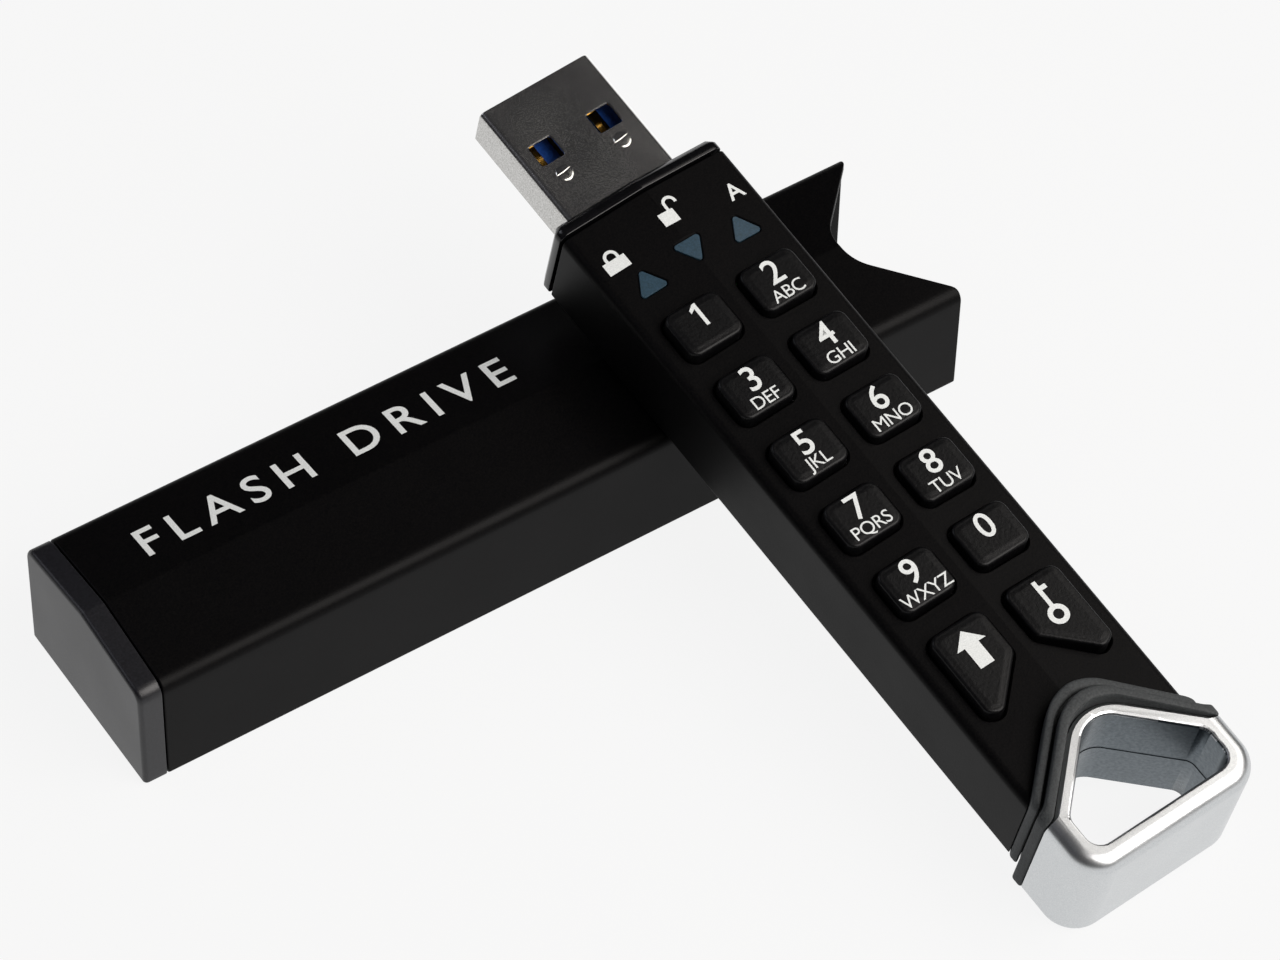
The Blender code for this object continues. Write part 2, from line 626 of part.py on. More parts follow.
def make_key_loop():
    """Cast metal loop with a five-sided hole right through and a spigot into the shell."""
    half = SLEEVE_WIDTH / 2
    outer = vee(LOOP_FRONT, half)
    outer += [(LOOP_REAR, half, LOOP_CORNER_RADIUS), (LOOP_REAR, -half, LOOP_CORNER_RADIUS)]
    hole_half = half - LOOP_SIDE_WALL
    hole_apex = LOOP_FRONT + VEE_APEX - SHELL_REAR + LOOP_FRONT_WALL
    knee = hole_apex + VEE_SLOPE * hole_half
    hole_rear = LOOP_REAR - LOOP_REAR_WALL
    hole = [
        (hole_apex, 0.0, 2 * LOOP_HOLE_RADIUS),
        (knee, hole_half, LOOP_HOLE_RADIUS),
        (hole_rear, hole_half, LOOP_HOLE_RADIUS),
        (hole_rear, -hole_half, LOOP_HOLE_RADIUS),
        (knee, -hole_half, LOOP_HOLE_RADIUS),
    ]
    low = -DRIVE_LIFT_IN_BORE
    high = SLEEVE_SIDE_HEIGHT - DRIVE_LIFT_IN_BORE
    loop = prism("key_loop", [rounded(outer, 6), rounded(hole)], low, high)

    def at_outer_edge(place):
        at_side = abs(place.y) > hole_half + LOOP_SIDE_WALL / 2
        at_rear = place.x > hole_rear + LOOP_REAR_WALL / 2
        return place.x > LOOP_FRONT - VEE_FOOT_RADIUS and (at_side or at_rear)

    round_edges(loop, LOOP_EDGE_RADIUS, 3, at_outer_edge)
    spigot = [
        (BOARD_REAR + SEAM, -SPIGOT_WIDTH / 2, 0.0),
        (BOARD_REAR + SEAM, SPIGOT_WIDTH / 2, 0.0),
        (LOOP_FRONT, SPIGOT_WIDTH / 2, 0.0),
        (LOOP_FRONT, -SPIGOT_WIDTH / 2, 0.0),
    ]
    tab = prism("spigot", [rounded(spigot)], SPIGOT_BASE, SPIGOT_BASE + SPIGOT_HEIGHT)
    ahead = vee(LOOP_FRONT + LOOP_FRONT_WALL / 2, SLEEVE_WIDTH)
    ahead += [(0.0, SLEEVE_WIDTH, 0.0), (0.0, -SLEEVE_WIDTH, 0.0)]
    keep_inside(tab, prism("ahead", [rounded(ahead, 8)], -WHOLE_HEIGHT, WHOLE_HEIGHT))
    join(loop, tab)
    return loop


def sleeve_profile():
    return roof_profile(
        SLEEVE_WIDTH,
        0.0,
        SLEEVE_SIDE_HEIGHT,
        SLEEVE_RIDGE_HEIGHT,
        SLEEVE_EDGE_RADIUS,
        SLEEVE_BASE_RADIUS,
    )


def bore_profile(inset):
    """The sleeve's bore, or a plug that fits it with an inset all round."""
    return roof_profile(
        BORE_WIDTH - 2 * inset,
        SLEEVE_FLOOR + inset,
        SLEEVE_SIDE_HEIGHT - SLEEVE_FLOOR - inset,
        SLEEVE_RIDGE_HEIGHT - SLEEVE_FLOOR - inset,
        DRIVE_EDGE_RADIUS,
        DRIVE_BASE_RADIUS,
    )


def make_sleeve_tube():
    """Extruded tube, its mouth cut to the same V as the gasket."""
    mouth = SLEEVE_LENGTH / 2
    outlines = [rounded(sleeve_profile()), rounded(bore_profile(0.0))]
    tube = bar("sleeve_tube", outlines, CAP_DEPTH - mouth, mouth)
    beyond = vee(mouth, SLEEVE_WIDTH) + [(2 * mouth, SLEEVE_WIDTH, 0.0), (2 * mouth, -SLEEVE_WIDTH, 0.0)]
    cut(tube, prism("mouth_cutter", [rounded(beyond, 8)], -WHOLE_HEIGHT, WHOLE_HEIGHT))
    return tube


def make_sleeve_end_cap():
    """Plastic cap: an end plate, a spigot inside the tube, and a pocket for the plug's tip."""
    end = -SLEEVE_LENGTH / 2
    cap = bar("sleeve_end_cap", [rounded(sleeve_profile())], end, end + CAP_DEPTH - SEAM)
    round_edges(cap, SEAM, 2, lambda place: near(place.x, end))
    spigot = rounded(bore_profile(FINE_GAP))
    join(cap, bar("spigot", [spigot], end + CAP_DEPTH / 2, end + CAP_DEPTH + CAP_SPIGOT))
    pocket = rectangle(
        PLUG_WIDTH + 2 * PLUG_TIP_ROOM,
        PLUG_HEIGHT + 2 * PLUG_TIP_ROOM,
        PLUG_CORNER_RADIUS,
        (0.0, DRIVE_LIFT_IN_BORE + PLUG_MIDDLE_HEIGHT),
    )
    cut(cap, bar("pocket_cutter", [rounded(pocket)], end + CAP_END_WALL, 0.0))
    return cap


def shoulder_middle():
    """Middle, in (across, up), of the rounding between the sleeve's near side and its roof."""
    half = SLEEVE_WIDTH / 2
    roof_slope = (SLEEVE_RIDGE_HEIGHT - SLEEVE_SIDE_HEIGHT) / half
    above = SLEEVE_SIDE_HEIGHT + roof_slope * SLEEVE_EDGE_RADIUS
    up = above - SLEEVE_EDGE_RADIUS / math.cos(math.atan(roof_slope))
    return SLEEVE_EDGE_RADIUS - half, up


def drive_tilt():
    """Angle at which the drive's base meets the sleeve's shoulder and its loop meets the table.

    Both places are rounded, so the angle is found between the middles of the roundings:
    of the sleeve's shoulder, and of the loop's lowest corner.
    """
    corner_x = LOOP_REAR - LOOP_CORNER_RADIUS - OVERHANG
    corner_y = SLEEVE_WIDTH / 2 - LOOP_CORNER_RADIUS
    down_slope = -math.sin(CROSS_ANGLE) * corner_x + math.cos(CROSS_ANGLE) * corner_y
    run = down_slope + LOOP_CORNER_RADIUS - LOOP_EDGE_RADIUS
    drop = DRIVE_LIFT_IN_BORE - LOOP_EDGE_RADIUS - SEAM - SLEEVE_EDGE_RADIUS
    height = shoulder_middle()[1] - LOOP_EDGE_RADIUS
    return math.asin(height / math.hypot(run, drop)) - math.atan2(drop, run)


def make_drive_axes(collection):
    """Two nested empties: the tilt about the sleeve's shoulder, and the turn across it."""
    contact = bpy.data.objects.new("shoulder_contact", None)
    contact.location = (CROSS_PLACE, *shoulder_middle())
    contact.rotation_euler = (drive_tilt(), 0.0, 0.0)
    axes = bpy.data.objects.new("drive_axes", None)
    axes.parent = contact
    axes.rotation_euler = (0.0, 0.0, CROSS_ANGLE)
    back = -OVERHANG
    rise = SLEEVE_EDGE_RADIUS + SEAM
    axes.location = (back * math.cos(CROSS_ANGLE), back * math.sin(CROSS_ANGLE), rise)
    collection.objects.link(contact)
    collection.objects.link(axes)
    return axes


def place(solid, collection, material, parent=None):
    for holder in list(solid.users_collection):
        holder.objects.unlink(solid)
    collection.objects.link(solid)
    solid.data.name = solid.name
    solid.data.materials.clear()
    solid.data.materials.append(material)
    solid.parent = parent


def main():
    clear_scene()
    collection = make_collection("keypad_flash_drive")
    anodised = finish("black_anodised_aluminium", (0.018, 0.017, 0.018), 0.45, 1.0)
    black_plastic = finish("black_plastic", (0.012, 0.012, 0.014), 0.35)
    cap_plastic = finish("grey_black_plastic", (0.05, 0.05, 0.055), 0.35)
    key_plastic = finish("key_plastic", (0.012, 0.012, 0.013), 0.5)
    steel = finish("plug_steel", (0.42, 0.42, 0.40), 0.35, 1.0)
    tongue_blue = finish("blue_insulator", (0.01, 0.08, 0.30), 0.45)
    gold = finish("gold_contact", (0.83, 0.62, 0.22), 0.3, 1.0)
    rubber = finish("grey_rubber", (0.045, 0.048, 0.05), 0.7)
    cast_metal = finish("satin_cast_metal", (0.62, 0.64, 0.66), 0.35, 1.0)
    lens = finish("slate_blue_window", (0.046, 0.09, 0.13), 0.4)
    board = finish("green_board", (0.01, 0.12, 0.05), 0.5)
    chip = finish("chip_package", (0.02, 0.02, 0.02), 0.5)
    foil = finish("battery_foil", (0.55, 0.56, 0.58), 0.4, 0.8)
    light = finish("light_chip", (0.8, 0.8, 0.7), 0.4)
    mat = finish("clear_rubber_mat", (0.3, 0.3, 0.32), 0.6)

    place(make_sleeve_tube(), collection, anodised)
    place(make_sleeve_end_cap(), collection, cap_plastic)

    axes = make_drive_axes(collection)
    place(make_drive_shell(), collection, anodised, axes)
    place(make_front_bezel(), collection, black_plastic, axes)
    place(make_plug_shell(), collection, steel, axes)
    place(make_plug_tongue(), collection, tongue_blue, axes)
    for contact in make_contacts():
        place(contact, collection, gold, axes)
    place(make_circuit_board(), collection, board, axes)
    looks = {"battery": foil, "crystal": foil}
    for part in make_board_parts():
        default = light if part.name.startswith("light") else chip
        place(part, collection, looks.get(part.name, default), axes)
    for pipe in make_windows():
        place(pipe, collection, lens, axes)
    place(make_keypad_mat(), collection, mat, axes)
    for name, x, side in key_places():
        place(make_key(name, x, side), collection, key_plastic, axes)
    place(make_rear_gasket(), collection, rubber, axes)
    place(make_key_loop(), collection, cast_metal, axes)


main()
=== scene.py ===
import json
import math

import bmesh
import bpy
from mathutils import Matrix, Vector


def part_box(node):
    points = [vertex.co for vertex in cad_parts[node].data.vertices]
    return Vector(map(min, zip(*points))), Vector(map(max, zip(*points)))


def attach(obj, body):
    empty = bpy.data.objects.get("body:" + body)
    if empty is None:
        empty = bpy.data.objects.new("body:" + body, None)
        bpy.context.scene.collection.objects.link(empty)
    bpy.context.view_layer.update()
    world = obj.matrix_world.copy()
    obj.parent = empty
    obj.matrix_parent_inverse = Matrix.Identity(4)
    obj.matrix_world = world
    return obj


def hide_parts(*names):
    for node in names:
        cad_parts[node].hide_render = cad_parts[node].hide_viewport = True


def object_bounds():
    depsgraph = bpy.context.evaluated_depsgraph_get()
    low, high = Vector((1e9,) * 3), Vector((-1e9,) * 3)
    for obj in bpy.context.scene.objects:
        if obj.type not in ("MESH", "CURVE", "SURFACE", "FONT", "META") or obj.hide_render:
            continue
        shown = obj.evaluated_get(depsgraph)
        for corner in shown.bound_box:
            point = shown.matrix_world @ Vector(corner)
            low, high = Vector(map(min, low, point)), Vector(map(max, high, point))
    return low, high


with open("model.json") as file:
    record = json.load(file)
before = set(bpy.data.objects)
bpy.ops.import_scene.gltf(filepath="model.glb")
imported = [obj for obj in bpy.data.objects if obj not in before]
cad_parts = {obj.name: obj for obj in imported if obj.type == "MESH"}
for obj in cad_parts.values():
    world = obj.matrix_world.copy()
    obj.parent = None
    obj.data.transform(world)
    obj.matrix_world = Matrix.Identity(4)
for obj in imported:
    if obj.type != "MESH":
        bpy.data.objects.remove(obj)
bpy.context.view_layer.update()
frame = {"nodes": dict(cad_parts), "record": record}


# ---- Camera ------------------------------------------------------------------------------
# A long lens on a tripod, looking down on the drive from beyond the sleeve's capped end.
# Its aim is given from the middle of the whole object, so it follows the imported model.
MM = 0.001
AIM_OFFSET = Vector((12.12, 18.30, -13.13)) * MM
CAMERA_DISTANCE = 564.8 * MM
CAMERA_TURN = math.radians(34.44)
CAMERA_DROP = math.radians(50.80)
CAMERA_ROLL = math.radians(1.67)
FOCAL_LENGTH = 176.97

low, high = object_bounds()
ahead = Vector((
    math.sin(CAMERA_TURN) * math.cos(CAMERA_DROP),
    math.cos(CAMERA_TURN) * math.cos(CAMERA_DROP),
    -math.sin(CAMERA_DROP),
))
level = Vector((math.cos(CAMERA_TURN), -math.sin(CAMERA_TURN), 0.0))
right = level * math.cos(CAMERA_ROLL) + level.cross(ahead) * math.sin(CAMERA_ROLL)
aim = (low + high) / 2 + AIM_OFFSET

lens = bpy.data.cameras.new("camera")
lens.lens = FOCAL_LENGTH
lens.sensor_width = 36.0
camera = bpy.data.objects.new("camera", lens)
camera.matrix_world = Matrix.Translation(aim - ahead * CAMERA_DISTANCE) @ Matrix(
    (right, right.cross(ahead), -ahead)
).transposed().to_4x4()
bpy.context.scene.collection.objects.link(camera)
bpy.context.scene.camera = camera


# ---- Floor and studio light --------------------------------------------------------------
# A lit white acrylic table, which glows by itself and takes only a trace of shadow. A broad
# softbox lights the front, one hangs over the loop, and one stands far left. The room is dim.
def linear(code):
    """Linear colour, with alpha, of an sRGB hex code."""
    levels = [int(code[place:place + 2], 16) / 255 for place in (1, 3, 5)]
    return (*[v / 12.92 if v < 0.04045 else ((v + 0.055) / 1.055) ** 2.4 for v in levels], 1.0)


def add(tree, kind, inputs=(), **settings):
    """Adds a node; inputs gives each socket its value, or the output that feeds it."""
    node = tree.nodes.new(kind)
    for name, value in settings.items():
        setattr(node, name, value)
    for key, value in dict(inputs).items():
        if isinstance(value, bpy.types.NodeSocket):
            tree.links.new(value, node.inputs[key])
        else:
            node.inputs[key].default_value = value
    return node


def softbox(name, place, target, width, height, power, colour):
    """Rectangular area light that faces a point."""
    light = bpy.data.lights.new(name, "AREA")
    light.shape = "RECTANGLE"
    light.size = width
    light.size_y = height
    light.energy = power
    light.color = linear(colour)[:3]
    lamp = bpy.data.objects.new(name, light)
    lamp.location = place
    lamp.rotation_euler = (target - place).to_track_quat("-Z", "Y").to_euler()
    bpy.context.scene.collection.objects.link(lamp)


FLOOR_REACH = 3.0
FLOOR_DROP = 0.05 * MM
FLOOR_GLOW = 0.92
middle = Vector((0.0, (low.y + high.y) / 2, 0.0))

floor_mesh = bpy.data.meshes.new("floor")
floor_mesh.from_pydata(
    [(u * FLOOR_REACH, v * FLOOR_REACH, low.z - FLOOR_DROP) for u, v in ((-1, -1), (1, -1), (1, 1), (-1, 1))],
    [],
    [(0, 1, 2, 3)],
)
floor = bpy.data.objects.new("floor", floor_mesh)
bpy.context.scene.collection.objects.link(floor)
acrylic = bpy.data.materials.new("white_opal_acrylic")
acrylic.use_nodes = True
shader = acrylic.node_tree.nodes["Principled BSDF"]
shader.inputs["Base Color"].default_value = linear("#3a3a3a")
shader.inputs["Roughness"].default_value = 0.9
shader.inputs["Specular IOR Level"].default_value = 0.1
shader.inputs["Emission Color"].default_value = linear("#fbfbfb")
shader.inputs["Emission Strength"].default_value = FLOOR_GLOW
floor_mesh.materials.append(acrylic)

softbox("front_softbox", Vector((0.32, -0.56, 0.64)), middle, 0.70, 0.70, 10.0, "#fffaf6")
softbox("loop_softbox", Vector((0.285, -0.072, 0.31)), middle, 0.25, 0.24, 0.46, "#fffaf4")
softbox("far_softbox", Vector((-0.36, 0.40, 0.50)), middle, 0.30, 0.30, 0.85, "#f0f3ff")

room = bpy.data.worlds.new("dim_room")
room.use_nodes = True
room.node_tree.nodes["Background"].inputs["Color"].default_value = linear("#8c8c92")
room.node_tree.nodes["Background"].inputs["Strength"].default_value = 0.12
bpy.context.scene.world = room
bpy.context.scene.view_settings.view_transform = "Standard"


# ---- Sleeve tube -------------------------------------------------------------------------
# The loose sleeve is a length of extruded aluminium with a shallow roof, bead blasted and
# anodised black. Its mouth is sawn to a V, and the sawn edges are broken with a fine radius.
def outline(corners, inset=0.0, arc=8, edge=1):
    """Points of a polygon moved inwards and rounded; a corner is (u, v, radius), anticlockwise.

    inset is one distance, or one for the edge that leaves each corner.
    """
    count = len(corners)
    insets = inset if isinstance(inset, list) else [inset] * count
    spots = [Vector(corner[:2]) for corner in corners]
    ways = [(spots[(i + 1) % count] - spots[i]).normalized() for i in range(count)]
    arcs = []
    for i, (u, v, radius) in enumerate(corners):
        before, after = ways[i - 1], ways[i]
        turn = before.cross(after)
        shift_before = Vector((-before.y, before.x)) * insets[i - 1]
        shift_after = Vector((-after.y, after.x)) * insets[i]
        along = (shift_after - shift_before).cross(after) / turn
        corner = spots[i] + shift_before + before * along
        mean = (insets[i - 1] + insets[i]) / 2
        radius = max(radius - mean * math.copysign(1.0, turn), 0.02)
        half = (math.pi - before.angle(after)) / 2
        middle = corner + (after - before).normalized() * radius / math.sin(half)
        start = corner - before * radius / math.tan(half) - middle
        sweep = math.copysign(math.pi - 2 * half, turn)
        first = math.atan2(start.y, start.x)
        arcs.append([
            middle + radius * Vector((math.cos(first + sweep * k / arc), math.sin(first + sweep * k / arc)))
            for k in range(arc + 1)
        ])
    points = []
    for i, run in enumerate(arcs):
        points += run
        following = arcs[(i + 1) % count][0]
        points += [run[-1].lerp(following, k / edge) for k in range(1, edge)]
    return points


def roof(half, base, side, ridge, radius, base_radius=0.4):
    """Corners of a flat-based section with a shallow roof, in (across, up)."""
    upper = [(half, side, radius), (0.0, ridge, radius), (-half, side, radius)]
    return [(-half, base, base_radius), (half, base, base_radius), *upper]


def vee(y, foot):
    """How far along the V cut stands at a distance y from the ridge, when its feet are at foot."""
    y = abs(y)
    lean = math.hypot(1.0, VEE_SLOPE)
    apex = foot - VEE_SLOPE * VEE_HALF_WIDTH
    foot_middle = VEE_HALF_WIDTH + VEE_FOOT_RADIUS * (lean - 1.0) / VEE_SLOPE
    if y < VEE_APEX_RADIUS * VEE_SLOPE / lean:
        return apex + VEE_APEX_RADIUS * lean - math.sqrt(VEE_APEX_RADIUS ** 2 - y ** 2)
    if y > foot_middle:
        return foot
    if y > foot_middle - VEE_FOOT_RADIUS * VEE_SLOPE / lean:
        return foot - VEE_FOOT_RADIUS + math.sqrt(VEE_FOOT_RADIUS ** 2 - (foot_middle - y) ** 2)
    return apex + VEE_SLOPE * y


def quarter(radius, steps=3):
    """(inset, setback) pairs round a rounded edge, from the wall to the face."""
    angles = [math.pi / 2 * step / steps for step in range(steps + 1)]
    return [(radius * (1 - math.cos(a)), radius * (1 - math.sin(a))) for a in angles]


def band(corners, inset, stand):
    """Ring of points round a section; stand gives how far along x each one is."""
    return [(stand(u), u, v) for u, v in outline(corners, inset, edge=24)]


def end_rings(section, radius, stand, towards, hollow=1, steps=3):
    """Rings that round a section's edge at one end of a bar.

    towards is 1 where the bar lies further along x and -1 where it lies behind; hollow is -1
    on the wall of a bore.
    """
    turns = quarter(radius, steps)
    if towards * hollow > 0:
        turns = reversed(turns)
    return [band(section, hollow * inset, lambda y, b=back: stand(y) + towards * b) for inset, back in turns]


def show(name, mesh, materials, body, slot, *nodes):
    """Puts a finished mesh in the scene as a piece that stands for CAD nodes.

    With a list of materials each face keeps the number of its own one.
    """
    faces = [face.material_index for face in mesh.polygons] if isinstance(materials, list) else []
    mesh.materials.clear()
    for material in materials if isinstance(materials, list) else [materials]:
        mesh.materials.append(material)
    for face, index in zip(mesh.polygons, faces):
        face.material_index = index
    piece = bpy.data.objects.new(name, mesh)
    bpy.context.scene.collection.objects.link(piece)
    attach(piece, body)
    if nodes:
        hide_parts(*nodes)
    even = piece.modifiers.new("even_shading", "WEIGHTED_NORMAL")
    even.keep_sharp = True
    return piece


def skin(name, rings, place, closed=True):
    """Mesh that joins rings point by point, in millimetres before it is placed."""
    shape = bmesh.new()
    rows = [[shape.verts.new(point) for point in ring] for ring in rings]
    following = rows[1:] + rows[:1] if closed else rows[1:]
    for row, after in zip(rows, following):
        for i in range(len(row)):
            j = (i + 1) % len(row)
            shape.faces.new((row[i], row[j], after[j], after[i]))
    if not closed:
        shape.faces.new(reversed(rows[0]))
        shape.faces.new(rows[-1])
    bmesh.ops.recalc_face_normals(shape, faces=shape.faces)
    mesh = bpy.data.meshes.new(name)
    shape.to_mesh(mesh)
    shape.free()
    return settle(mesh, place)


def settle(mesh, place):
    """Moves a millimetre mesh to its place in metres and shades it by its edges' angles."""
    mesh.transform(place @ Matrix.Scale(MM, 4))
    mesh.shade_smooth()
    mesh.set_sharp_from_angle(angle=math.radians(32))
    return mesh


def grained(name, dark, light, grain, depth, gloss, metallic=0.0, level=0.5, uneven=0.08):
    """Material with a fine grain, in metres, that varies its colour, gloss and relief."""
    material = bpy.data.materials.new(name)
    material.use_nodes = True
    tree = material.node_tree
    shader = tree.nodes["Principled BSDF"]
    place = add(tree, "ShaderNodeTexCoord").outputs["Object"]
    fine = add(tree, "ShaderNodeTexNoise", {"Vector": place, "Scale": 1 / grain, "Detail": 2.0})
    broad = add(tree, "ShaderNodeTexNoise", {"Vector": place, "Scale": 1 / (40 * grain), "Detail": 3.0})
    spread = add(tree, "ShaderNodeMapRange", {"Value": fine.outputs["Fac"], "From Min": 0.3, "From Max": 0.7})
    # A Mix node's colour sockets share their names with its number sockets, so they go by place.
    tint = add(
        tree, "ShaderNodeMix",
        {0: spread.outputs["Result"], 6: linear(dark), 7: linear(light)}, data_type="RGBA",
    )
    rough = add(tree, "ShaderNodeMapRange", {
        "Value": broad.outputs["Fac"], "From Min": 0.3, "From Max": 0.7,
        "To Min": gloss - uneven, "To Max": gloss + uneven,
    })
    relief = add(tree, "ShaderNodeBump", {"Height": fine.outputs["Fac"], "Strength": 1.0, "Distance": depth})
    tree.links.new(tint.outputs[2], shader.inputs["Base Color"])
    tree.links.new(rough.outputs["Result"], shader.inputs["Roughness"])
    tree.links.new(relief.outputs["Normal"], shader.inputs["Normal"])
    shader.inputs["Metallic"].default_value = metallic
    shader.inputs["Specular IOR Level"].default_value = level
    return material


VEE_SLOPE = 0.94
VEE_HALF_WIDTH = 8.95
VEE_APEX_RADIUS = 4.6
VEE_FOOT_RADIUS = 1.2
SLEEVE_HALF_WIDTH = 9.75
SLEEVE_SIDE = 12.4
SLEEVE_RIDGE = 13.7
SLEEVE_OUTSIDE = roof(SLEEVE_HALF_WIDTH, 0.0, SLEEVE_SIDE, SLEEVE_RIDGE, 1.3)
SLEEVE_BORE = roof(9.15, 0.8, 11.6, 12.9, 0.9)
SLEEVE_RIM = 0.16

tube_low, tube_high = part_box("sleeve_tube")
mouth = tube_high.x / MM
seat = tube_low.x / MM
in_world = Matrix.Identity(4)

# Bead blasting leaves a dull velvet of fine pits, and the dye gives a warm black over metal.
anodised = grained(
    "black_anodised_aluminium_blasted", "#020203", "#0a0909", 0.16 * MM, 0.010 * MM, 0.44,
    level=0.07, uneven=0.02,
)

rings = end_rings(SLEEVE_OUTSIDE, SLEEVE_RIM, lambda y: seat, 1)
rings += end_rings(SLEEVE_OUTSIDE, SLEEVE_RIM, lambda y: vee(y, mouth), -1)
rings += end_rings(SLEEVE_BORE, SLEEVE_RIM, lambda y: vee(y, mouth), -1, hollow=-1)
rings += end_rings(SLEEVE_BORE, SLEEVE_RIM, lambda y: seat, 1, hollow=-1)
show("sleeve_body", skin("sleeve_body", rings, in_world), anodised, "sleeve", "black_anodised", "sleeve_tube")


# ---- Sleeve lettering --------------------------------------------------------------------
# Plain words are pad printed along the far slope of the sleeve's roof. The ink is a dull
# white film, a few hundredths of a millimetre thick.
def printed(name, words, height, place, thickness=0.02, weight=0.0, spacing=1.0):
    """Mesh of one line of lettering, centred on its own origin, in millimetres before it is placed."""
    text = bpy.data.curves.new(name, "FONT")
    text.body = words
    text.size = height / CAPITAL_SHARE
    text.extrude = thickness / 2
    text.offset = weight
    text.space_character = spacing
    text.resolution_u = 6
    return flat_mesh(name, text, place)


def flat_mesh(name, curve, place):
    """Mesh of a flat filled curve, centred and then placed."""
    holder = bpy.data.objects.new(name, curve)
    bpy.context.scene.collection.objects.link(holder)
    bpy.context.view_layer.update()
    mesh = bpy.data.meshes.new_from_object(holder.evaluated_get(bpy.context.evaluated_depsgraph_get()))
    bpy.data.objects.remove(holder)
    corners = [vertex.co.copy() for vertex in mesh.vertices]
    across = [corner.x for corner in corners]
    up = [corner.y for corner in corners]
    mesh.transform(Matrix.Translation((-(min(across) + max(across)) / 2, -(min(up) + max(up)) / 2, 0.0)))
    return settle(mesh, place)


CAPITAL_SHARE = 0.70
WORDS = "FLASH DRIVE"
WORDS_HEIGHT = 3.4
WORDS_X = -15.6
WORDS_Y = 4.1
PRINT_LIFT = 0.005
ROOF_FALL = SLEEVE_RIDGE - SLEEVE_SIDE
SLOPE = math.atan2(ROOF_FALL, SLEEVE_HALF_WIDTH)

# Printing ink is matt, and the blasted metal below shows through as a faint speckle.
ink = grained("white_pad_printing_ink", "#c8cccb", "#dfe2e1", 0.10 * MM, 0.002 * MM, 0.6)

words_level = SLEEVE_RIDGE - WORDS_Y * ROOF_FALL / SLEEVE_HALF_WIDTH + PRINT_LIFT
on_slope = Matrix.Translation(Vector((WORDS_X, WORDS_Y, words_level)) * MM)
on_slope = on_slope @ Matrix.Rotation(-SLOPE, 4, "X")
words = printed("sleeve_words", WORDS, WORDS_HEIGHT, on_slope, weight=0.04, spacing=1.4)
show("sleeve_words", words, ink, "sleeve", "key_plastic")


# ---- Sleeve end cap ----------------------------------------------------------------------
# An injection moulded plastic plug closes the sleeve's square end. It is glued in by its
# spigot, matches the metal's outline, and shows as a fine dark seam round the tube.
CAP_EDGE = 0.45
CAP_JOINT = 0.12
CAP_REAR_EDGE = 0.12
SPIGOT_PLAY = 0.2
cap_low, cap_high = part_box("sleeve_end_cap")
end = cap_low.x / MM

# ABS moulded on a spark-eroded tool: a little smoother and greyer than the metal beside it.
cap_abs = grained(
    "black_abs_spark_textured", "#0f0f12", "#1a1a1e", 0.20 * MM, 0.006 * MM, 0.40, level=0.40, uneven=0.02
)

rings = end_rings(SLEEVE_OUTSIDE, CAP_EDGE, lambda y: end, 1, steps=4)
rings += end_rings(SLEEVE_OUTSIDE, CAP_REAR_EDGE, lambda y: seat - CAP_JOINT, -1)
rings += [
    band(SLEEVE_BORE, SPIGOT_PLAY, lambda y: seat - CAP_JOINT),
    band(SLEEVE_BORE, SPIGOT_PLAY, lambda y: cap_high.x / MM),
]
cap = skin("sleeve_cap", rings, in_world, closed=False)
show("sleeve_cap", cap, cap_abs, "sleeve", "cap_plastic", "sleeve_end_cap")


# ---- Drive shell -------------------------------------------------------------------------
# The drive's body is a smaller extrusion of the same roofed section. The key and window
# openings are milled through its roof, and a fine bright chamfer is left round each.
mounts = {mount["name"]: mount for mount in frame["record"]["mounts"]}
out_of_keypad = Vector(mounts["plug_broad_face"]["axis"]).normalized()
to_loop = Vector(mounts["loop_end_face"]["axis"]).normalized()
across_drive = out_of_keypad.cross(to_loop)
turned = Matrix((to_loop, across_drive, out_of_keypad)).transposed()
PLUG_FACE_MIDDLE = Vector((-11.6, 0.0, 6.45)) * MM
corner = Vector(mounts["plug_broad_face"]["pos_m"]) - turned @ PLUG_FACE_MIDDLE
on_drive = Matrix.Translation(corner) @ turned.to_4x4()

SHELL_FRONT = 1.7
SHELL_REAR = 67.4
SHELL_SIDE = 9.3
SHELL_RIDGE = 9.9
SHELL_OUTSIDE = roof(8.95, 0.0, SHELL_SIDE, SHELL_RIDGE, 0.9)
SHELL_BORE = roof(8.05, 0.9, SHELL_SIDE - 0.9, SHELL_RIDGE - 0.9, 0.45)
SHELL_RIM = 0.12
HOLE_CHAMFER = 0.13
FIRST_ROW = 15.5
PITCH = 7.5
COLUMN = 4.1
KEY_LENGTH = 5.2
KEY_WIDTH = 6.2
KEY_CORNER = 1.2
END_KEY_TO_VEE = 4.4
NOSE_WIDTH = 1.6
NOSE_LENGTH = 0.8
NOSE_CORNER = 1.1
END_ROW = FIRST_ROW + 5 * PITCH
NAMES = "1234567890"
LETTERS = ("", "ABC", "DEF", "GHI", "JKL", "MNO", "PQRS", "TUV", "WXYZ", "")


def roof_height(y):
    return SHELL_RIDGE - (SHELL_RIDGE - SHELL_SIDE) * abs(y) / VEE_HALF_WIDTH


def oblong_key(x, y):
    """Corners of a full row's key opening."""
    a, b = KEY_LENGTH / 2, KEY_WIDTH / 2
    return [(x + i * a, y + j * b, KEY_CORNER) for i, j in ((-1, -1), (1, -1), (1, 1), (-1, 1))]


